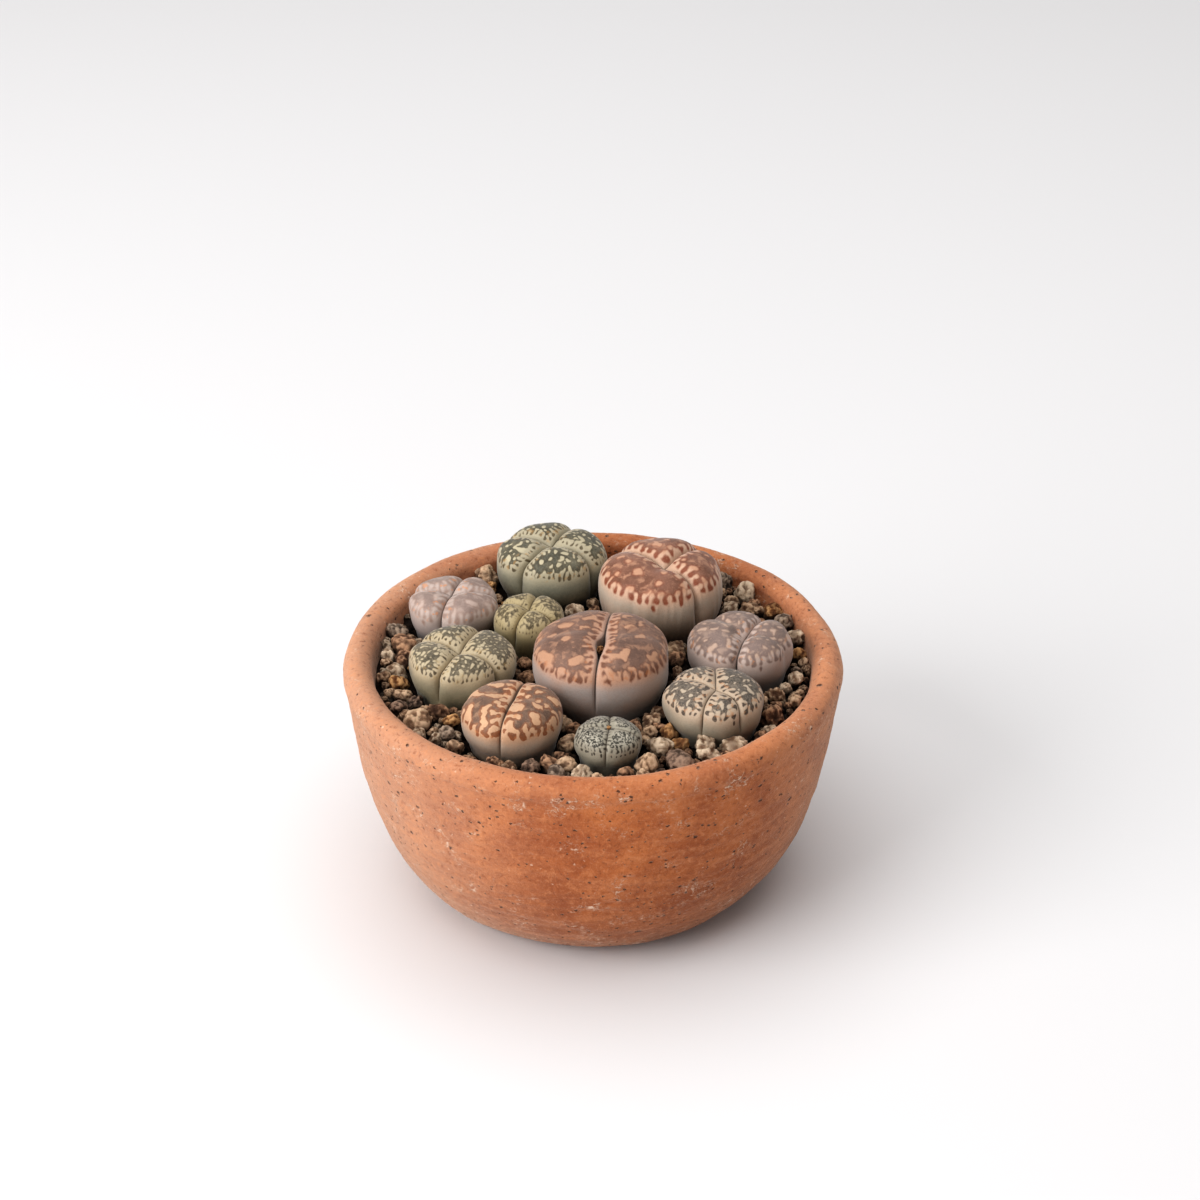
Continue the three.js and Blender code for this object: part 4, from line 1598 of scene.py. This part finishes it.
    def _form(self, number: int, fine: bool
              ) -> tuple[np.ndarray, np.ndarray, np.ndarray, np.ndarray]:
        """A lumpy stone of unit radius, like several grains grown together.

        Args:
            number: which of the forms. Every third is an angular chunk.
            fine: whether it has many faces.

        Returns:
            Its points, its faces, how deep each point lies in a crease, and how far it
            stands out.
        """
        points, faces = icosphere(4 if fine else 3)
        draw = np.random.default_rng(100 + number)
        chunk = number % 3 == 0
        lumps = 3 if chunk else 5 + number % 4
        spots = self._ways(draw, lumps) * draw.uniform(0.2, 0.5, (lumps, 1))
        sizes = draw.uniform(0.45, 0.68, lumps) + (0.2 if chunk else 0.0)
        facing = points @ spots.T
        inside = facing ** 2 - (spots ** 2).sum(1) + sizes ** 2
        reach = np.where(inside > 0, facing + np.sqrt(np.maximum(inside, 0)), 0.3)
        ordered = np.sort(reach, axis=1)
        joint = 22.0  # how sharply the lumps meet
        radius = np.log(np.exp(joint * reach).sum(1)) / joint
        crease = 1 - smooth(ordered[:, -1] - ordered[:, -2], 0.0, 0.12)

        cuts, arris = 9, 30  # flat faces, and how sharp their edges are
        towards = points @ self._ways(draw, cuts).T
        level = draw.uniform(0.78, 1.02, cuts) * np.mean(radius)
        planes = np.where(towards > 0.2, level / np.maximum(towards, 0.2), 9.0)
        radius = -np.log(np.exp(-arris * planes).sum(1) + np.exp(-arris * radius)) / arris
        skin = points * radius[:, None]
        even = radius
        for spot in self._ways(draw, self.hollows):
            size = draw.uniform(0.14, 0.34)
            away = np.linalg.norm(skin - spot * np.mean(radius), axis=1) / size
            hollow = np.clip(1 - away ** 2, 0, 1)
            radius = radius - draw.uniform(0.04, 0.13) * hollow
            crease = np.maximum(crease, 0.7 * hollow ** 2)
        radius = radius + (0.045 * Ripple(300 + number, 0.55).at(skin)
                           + 0.04 * Ripple(400 + number, 0.26).at(skin))
        crest = smooth(radius - even, -0.09, 0.07)
        return points * (radius / np.mean(radius))[:, None], faces, crease * 0.8, crest

    @staticmethod
    def _ways(draw: np.random.Generator, count: int) -> np.ndarray:
        """Random directions of unit length."""
        ways = draw.normal(size=(count, 3))
        return ways / np.linalg.norm(ways, axis=1, keepdims=True)

    def dress(self, kind: Kind, piece: bpy.types.Object) -> None:
        """Gives the stones of a kind their finish and their place in the part."""
        dress_piece(piece, GRIT_FINISHES[kind], "grit_top_dressing")

    def build_bed(self) -> None:
        """Makes and dresses the dark crumbly bed under the stones, down to the mix; its near-black
        colour is painted shade in the gaps.
        """
        columns, rows = 180, 60
        reach = np.linspace(0.0, 1.0, rows + 1)[1:] * (self.wall - self.bed_gap)
        turn = np.linspace(0, TAU, columns, endpoint=False)
        far, angle = np.meshgrid(reach, turn, indexing="ij")
        x, y = far * np.cos(angle), far * np.sin(angle)
        flat = np.stack([x, y, np.zeros_like(x)], -1).reshape(-1, 3)
        z = self.bed_level + 0.5 * Ripple(61, 4.0).at(flat) + 0.3 * Ripple(62, 1.8).at(flat)
        top = np.stack([x.ravel(), y.ravel(), z], -1)
        skirt = np.stack([x[-1], y[-1], np.full(columns, self.bed_foot)], -1)
        points = np.concatenate([[[0, 0, self.bed_level]], top, skirt, [[0, 0, self.bed_foot]]])
        piece = add_mesh("grit_bed", points, capped_faces(rows + 1, columns))
        dress_piece(piece, self.bed_finish, "grit_top_dressing")


def icosphere(rounds: int) -> tuple[np.ndarray, np.ndarray]:
    """A unit sphere of triangles, an icosahedron split again and again.

    Args:
        rounds: 1 gives the icosahedron, and each round after it splits every face in 4.

    Returns:
        Its points and its faces.
    """
    gold = (1 + math.sqrt(5)) / 2
    corners = [(-1, gold, 0), (1, gold, 0), (-1, -gold, 0), (1, -gold, 0),
               (0, -1, gold), (0, 1, gold), (0, -1, -gold), (0, 1, -gold),
               (gold, 0, -1), (gold, 0, 1), (-gold, 0, -1), (-gold, 0, 1)]
    faces = [(0, 11, 5), (0, 5, 1), (0, 1, 7), (0, 7, 10), (0, 10, 11), (1, 5, 9), (5, 11, 4),
             (11, 10, 2), (10, 7, 6), (7, 1, 8), (3, 9, 4), (3, 4, 2), (3, 2, 6), (3, 6, 8),
             (3, 8, 9), (4, 9, 5), (2, 4, 11), (6, 2, 10), (8, 6, 7), (9, 8, 1)]
    points = [np.array(corner, float) / math.hypot(*corner) for corner in corners]
    for _ in range(rounds - 1):
        halves: dict[tuple[int, int], int] = {}

        def half(a: int, b: int) -> int:
            """Number of the point halfway between two, made once."""
            key = (min(a, b), max(a, b))
            if key not in halves:
                middle = points[a] + points[b]
                points.append(middle / np.linalg.norm(middle))
                halves[key] = len(points) - 1
            return halves[key]

        faces = [part for a, b, c in faces for ab, bc, ca in [(half(a, b), half(b, c), half(c, a))]
                 for part in ((a, ab, ca), (b, bc, ab), (c, ca, bc), (ab, bc, ca))]
    return np.array(points), np.array(faces)


# ------------------------------------------------------------------ hidden pieces


@dataclass
class BuriedPieces:
    """The mix and the potsherd over the drainage hole, kept as the part has them."""

    mix: SoilFinish = SoilFinish("potting_mix", srgb(74, 54, 40), srgb(140, 108, 78))
    sherd: Terracotta = Terracotta("crock_clay", srgb(176, 104, 70), srgb(150, 84, 56))

    def dress(self, frame: dict[str, Any]) -> None:
        """Gives both their finish.

        Args:
            frame: the loaded frame.
        """
        for node, finish in (("potting_mix", self.mix), ("drainage_crock", self.sherd)):
            slots = frame["nodes"][node].data.materials
            slots.clear()
            slots.append(finish.build())


# ------------------------------------------------------------------------- studio


@dataclass(frozen=True)
class Lamp:
    """One soft square light.

    Attributes:
        spot: where it hangs, in metres.
        size: length of its side, in metres.
        power: its power, in watts.
        target: what it faces, in metres.
    """

    name: str
    spot: tuple[float, float, float]
    size: float
    power: float
    target: tuple[float, float, float] = (0.0, 0.0, 0.04)

    def hang(self) -> None:
        """Hangs the light and turns it to its target."""
        data = bpy.data.lights.new(self.name, "AREA")
        data.size = self.size
        data.energy = self.power
        lamp = bpy.data.objects.new(self.name, data)
        lamp.location = self.spot
        away = Vector(self.spot) - Vector(self.target)
        lamp.rotation_euler = away.to_track_quat("Z", "Y").to_euler()
        bpy.context.scene.collection.objects.link(lamp)


@dataclass
class Studio:
    """A pale floor, soft light and the camera.

    Attributes:
        aim_height: height of the point that the camera turns about.
        aim_right: how far to the right of that point it aims.
        aim_up: how far above that point it aims, in the picture.
    """

    pitch: float = 30.2
    distance: float = 900.0
    aim_height: float = 70.6
    aim_right: float = 2.25
    aim_up: float = 18.46
    focal_length: float = 89.82
    sensor: float = 36.0
    floor_reach: float = 4000.0
    lamps: tuple[Lamp, ...] = (Lamp("key_light", (-1.25, -0.8, 0.78), 1.2, 22.5),
                               Lamp("top_light", (-0.1, 0.1, 1.6), 2.0, 19.0))
    sky: Colour = (1.0, 0.985, 0.965, 1.0)
    sky_strength: float = 0.31

    def build_floor(self) -> None:
        """Lays the pale floor."""
        corners = np.array([(-1, -1, 0), (1, -1, 0), (1, 1, 0), (-1, 1, 0)])
        floor = add_mesh("floor", self.floor_reach * corners, [np.array([[0, 1, 2, 3]])])
        floor.data.materials.append(Plaster("floor", srgb(228, 227, 228)).build())

    def build_camera(self) -> None:
        """Sets up the camera at the photographed angle."""
        tilt = math.radians(self.pitch)
        ahead = np.array([0, math.cos(tilt), -math.sin(tilt)])
        up = np.array([0, math.sin(tilt), math.cos(tilt)])
        spot = (np.array([self.aim_right, 0, self.aim_height]) + self.aim_up * up
                - self.distance * ahead)
        data = bpy.data.cameras.new("camera")
        data.sensor_width = self.sensor
        data.lens = self.focal_length
        data.clip_start, data.clip_end = 0.01, 20.0
        camera = bpy.data.objects.new("camera", data)
        camera.location = spot * MM
        camera.rotation_euler = (math.pi / 2 - tilt, 0, 0)
        bpy.context.scene.collection.objects.link(camera)
        bpy.context.scene.camera = camera

    def build_light(self) -> None:
        """Hangs the soft lights and sets an even pale surrounding."""
        for lamp in self.lamps:
            lamp.hang()
        world = bpy.data.worlds.new("studio")
        world.use_nodes = True
        backdrop = world.node_tree.nodes["Background"]
        backdrop.inputs["Color"].default_value = self.sky
        backdrop.inputs["Strength"].default_value = self.sky_strength
        bpy.context.scene.world = world
        bpy.context.scene.view_settings.view_transform = "Standard"
        bpy.context.scene.view_settings.look = "Medium High Contrast"


# --------------------------------------------------------------------- the planting


SKINS = {skin.name: skin for skin in (
    Skin("skin_sage", side=srgb(142, 140, 124), low=srgb(72, 71, 57),
         margin=srgb(176, 165, 140), window=srgb(92, 90, 76), deep=srgb(68, 67, 56),
         island=srgb(192, 181, 152), finger=srgb(84, 70, 46), spot=srgb(176, 136, 80),
         blush=0.45),
    Skin("skin_brick", side=srgb(184, 170, 154), low=srgb(96, 84, 71),
         margin=srgb(206, 168, 142), window=srgb(136, 94, 76), deep=srgb(112, 72, 54),
         island=srgb(198, 150, 121), finger=srgb(128, 62, 34), wrinkles=0.5, blur=0.38,
         haze=0.6, rim=0.6),
    Skin("skin_left_mauve", side=srgb(168, 156, 151), low=srgb(128, 119, 117),
         margin=srgb(188, 170, 161), window=srgb(132, 112, 104), deep=srgb(118, 99, 92),
         island=srgb(190, 168, 157), finger=srgb(138, 106, 90), spot=srgb(202, 142, 104),
         strength=0.75, blush=0.75, blur=0.5, haze=0.5),
    Skin("skin_olive", side=srgb(146, 137, 108), low=srgb(108, 102, 76),
         margin=srgb(174, 157, 120), window=srgb(98, 88, 68), deep=srgb(78, 69, 50),
         island=srgb(178, 161, 126), finger=srgb(76, 62, 38), maze=0.25, maze_size=0.7),
    Skin("skin_left_green", side=srgb(152, 144, 122), low=srgb(102, 95, 72),
         margin=srgb(186, 169, 140), window=srgb(96, 88, 74), deep=srgb(74, 68, 56),
         island=srgb(189, 174, 145), finger=srgb(76, 62, 40), spot=srgb(170, 134, 70),
         maze=0.12, blush=0.3),
    Skin("skin_brown", side=srgb(178, 166, 160), low=srgb(164, 156, 152),
         margin=srgb(190, 145, 118), window=srgb(124, 96, 83), deep=srgb(102, 76, 65),
         island=srgb(186, 142, 114), finger=srgb(112, 66, 44), blur=0.42, haze=0.5, blush=0.4),
    Skin("skin_right_mauve", side=srgb(188, 174, 167), low=srgb(152, 142, 138),
         margin=srgb(188, 168, 158), window=srgb(114, 98, 95), deep=srgb(94, 80, 77),
         island=srgb(188, 160, 142), finger=srgb(104, 80, 70), spot=srgb(194, 134, 92),
         strength=0.82, blush=0.55, blur=0.32, haze=0.5),
    Skin("skin_charcoal", side=srgb(160, 152, 136), low=srgb(122, 115, 100),
         margin=srgb(192, 169, 146), window=srgb(88, 80, 73), deep=srgb(66, 61, 56),
         island=srgb(188, 171, 150), finger=srgb(76, 60, 48), spot=srgb(186, 126, 76),
         maze=0.2, maze_size=0.6, blush=0.45),
    Skin("skin_orange", side=srgb(176, 161, 146), low=srgb(140, 125, 110),
         margin=srgb(204, 163, 130), window=srgb(120, 93, 78), deep=srgb(94, 71, 59),
         island=srgb(206, 164, 130), finger=srgb(142, 84, 48), blush=0.45, haze=0.3, rim=0.75),
    Skin("skin_small_grey", side=srgb(130, 126, 111), low=srgb(100, 96, 83),
         margin=srgb(158, 151, 135), window=srgb(60, 58, 50), deep=srgb(46, 44, 38),
         island=srgb(184, 177, 161), finger=srgb(46, 39, 28), maze=0.8, maze_size=0.55))}


def planting() -> list[Lithops]:
    """The ten heads, each with its place, size, clefts and skin."""
    return [
        Lithops("head_back_green", -12.9, 47.7, 17.4, 16.9, 17.7,
                (Cleft(62, 1.2), Cleft(154, 1.0, -3), Cleft(231, 1.2, 3), Cleft(325, 1.0, 4)),
                (0, -0.6), SKINS["skin_sage"],
                Markings(1.7, 0.3, 0.7, width=0.42, inner=0.5, island=0.95, crowd=1.35,
                         chain=0.25),
                foot=0.85, cleft_depth=0.19, window_margin=2.3, seed=1),
        Lithops("head_back_red", 20.9, 31.8, 19.2, 20.2, 20.2,
                (Cleft(50, 1.3, 4), Cleft(134, 1.1, -3), Cleft(235, 0.0, pillow=0.6),
                 Cleft(310, 1.3, 4)),
                (1, -3), SKINS["skin_brick"],
                Markings(2.8, 0.45, 1.1, width=0.42, island=1.5, crowd=1.9, stretch=0.4),
                foot=0.9, cleft_depth=0.18, window_margin=2.3, window_reach=0.92,
                wrinkle=0.08, seed=2),
        Lithops("head_left_mauve", -42.5, 24.9, 14.0, 13.6, 12.5,
                (Cleft(5, 0.8), Cleft(73, 1.1), Cleft(165, 0.8), Cleft(255, 1.1)),
                (-0.8, -0.4), SKINS["skin_left_mauve"],
                Markings(2.2, 0.4, 0.9, width=0.4, island=1.1, crowd=2.3, stretch=0.9),
                cleft_depth=0.19, window_margin=1.7, seed=3),
        Lithops("head_small_olive", -19.3, 15.2, 10.8, 11.2, 12.6,
                (Cleft(76, 1.0), Cleft(149, 0.7, pillow=0.9), Cleft(243, 1.0),
                 Cleft(325, 0.8, pillow=0.9)),
                (0, -0.8), SKINS["skin_olive"],
                Markings(1.1, 0.4, 0.5, width=0.4, island=0.55, crowd=1.3),
                cleft_depth=0.2, window_margin=1.1, fineness=0.25, seed=4),
        Lithops("head_left_green", -38.8, -8.9, 16.0, 16.1, 13.7,
                (Cleft(69, 1.2), Cleft(145, 1.0, -3), Cleft(241, 1.2, 3), Cleft(325, 1.0, 4)),
                (-0.6, -2.2), SKINS["skin_left_green"],
                Markings(1.45, 0.3, 0.6, width=0.42, inner=0.6, island=0.66, crowd=1.35),
                cleft_depth=0.19, window_margin=1.8, seed=5),
        Lithops("head_centre_brown", 2.5, -12.1, 20.8, 20.1, 19.7,
                (Cleft(82, 0.9, pillow=0.8), Cleft(175, 0.0, pillow=0.85),
                 Cleft(262, 1.0, pillow=0.8), Cleft(358, 0.0, pillow=0.85)),
                (1.0, 0), SKINS["skin_brown"],
                Markings(2.5, 0.45, 1.6, width=0.42, inner=0.55, island=2.4, crowd=1.75,
                         stretch=0.35, chain=0.7, dots=0.1, warp=0.5, deepening=1.05),
                gap=Gap(82, (-20.0, -15.5, -12.5, -10.0, -7.0, -4.5, -2.0, 0.5, 7.0, 20.0),
                        (0.05, 0.15, 0.3, 0.9, 1.6, 1.6, 0.6, 0.1, 0.05, 0.05),
                        (0.05, 0.2, 0.4, 0.8, 1.0, 1.0, 0.7, 0.3, 0.1, 0.05), 6.5),
                cleft_depth=0.1, seam=0.0, window_margin=2.3, seed=6),
        Lithops("head_right_mauve", 44.2, -1.1, 15.8, 15.0, 14.2,
                (Cleft(61, 1.3), Cleft(128, 0.0, pillow=0.9), Cleft(257, 1.3),
                 Cleft(340, 0.0, pillow=0.9)),
                (1.2, -1.2), SKINS["skin_right_mauve"],
                Markings(2.2, 0.4, 0.9, width=0.4, island=0.9, crowd=2.1, stretch=0.9),
                cleft_depth=0.24, window_margin=1.7, seed=7),
        Lithops("head_front_grey", 35.3, -30.0, 14.7, 14.5, 12.7,
                (Cleft(89, 0.9, pillow=0.8), Cleft(148, 0.9, -3, 0.8), Cleft(250, 0.9, -3, 0.8),
                 Cleft(305, 0.9, 8, 0.8), Cleft(355, 0.0, pillow=0.6)),
                (0.5, -1.8), SKINS["skin_charcoal"],
                Markings(2.0, 0.45, 0.9, width=0.42, inner=0.7, island=0.7, crowd=1.7,
                         stretch=0.6, chain=0.5, dots=0.15),
                cleft_depth=0.12, window_margin=1.85, window_reach=0.94, seed=8),
        Lithops("head_front_orange", -23.1, -39.4, 14.8, 14.4, 13.9,
                (Cleft(75, 0.9, pillow=0.8), Cleft(165, 0.0, pillow=0.85),
                 Cleft(255, 0.9, pillow=0.8), Cleft(350, 0.0, pillow=0.85)),
                (0.4, 0), SKINS["skin_orange"],
                Markings(2.8, 0.15, 1.3, width=0.42, inner=0.7, island=1.8, crowd=1.35,
                         stretch=0.35, chain=0.6, dots=0.05, warp=0.5, deepening=1.05),
                gap=Gap(75, (-14, -9, -3, 3, 9, 14), (0.05, 0.2, 0.3, 0.3, 0.2, 0.1),
                        (0.05, 0.2, 0.3, 0.35, 0.3, 0.1), 3.0),
                cleft_depth=0.1, seam=0.0, window_margin=1.8, window_reach=0.98, seed=9),
        Lithops("head_front_small", 4.6, -48.4, 9.8, 9.5, 9.0,
                (Cleft(87, 0.8, pillow=0.8), Cleft(170, 0.6, pillow=0.6),
                 Cleft(264, 0.8, pillow=0.8), Cleft(345, 0.6, pillow=0.6)),
                (0.2, 0), SKINS["skin_small_grey"],
                Markings(1.35, 0.0, 0.15, width=0.45, island=0.35, crowd=3.0, dots=1.0),
                cleft_depth=0.09, window_margin=0.7, window_reach=0.955, fineness=0.24,
                seed=10),
    ]


def main() -> None:
    """Builds the object round the loaded frame, piece by piece."""
    logging.basicConfig(level=logging.INFO, format="%(message)s")
    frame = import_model()

    studio = Studio()
    studio.build_floor()
    studio.build_camera()
    studio.build_light()
    LOG.info("studio set up")

    bowl = Bowl()
    bowl.dress(bowl.build())
    LOG.info("bowl built")

    heads = planting()
    for head in heads:
        head.dress(head.build())
        LOG.info("%s built", head.name)

    dressing = TopDressing(heads)
    for kind, piece in dressing.build():
        dressing.dress(kind, piece)
        LOG.info("%s built with %d faces", piece.name, len(piece.data.polygons))
    dressing.build_bed()
    BuriedPieces().dress(frame)
    LOG.info("top dressing and mix built")


if __name__ == "__main__":
    main()
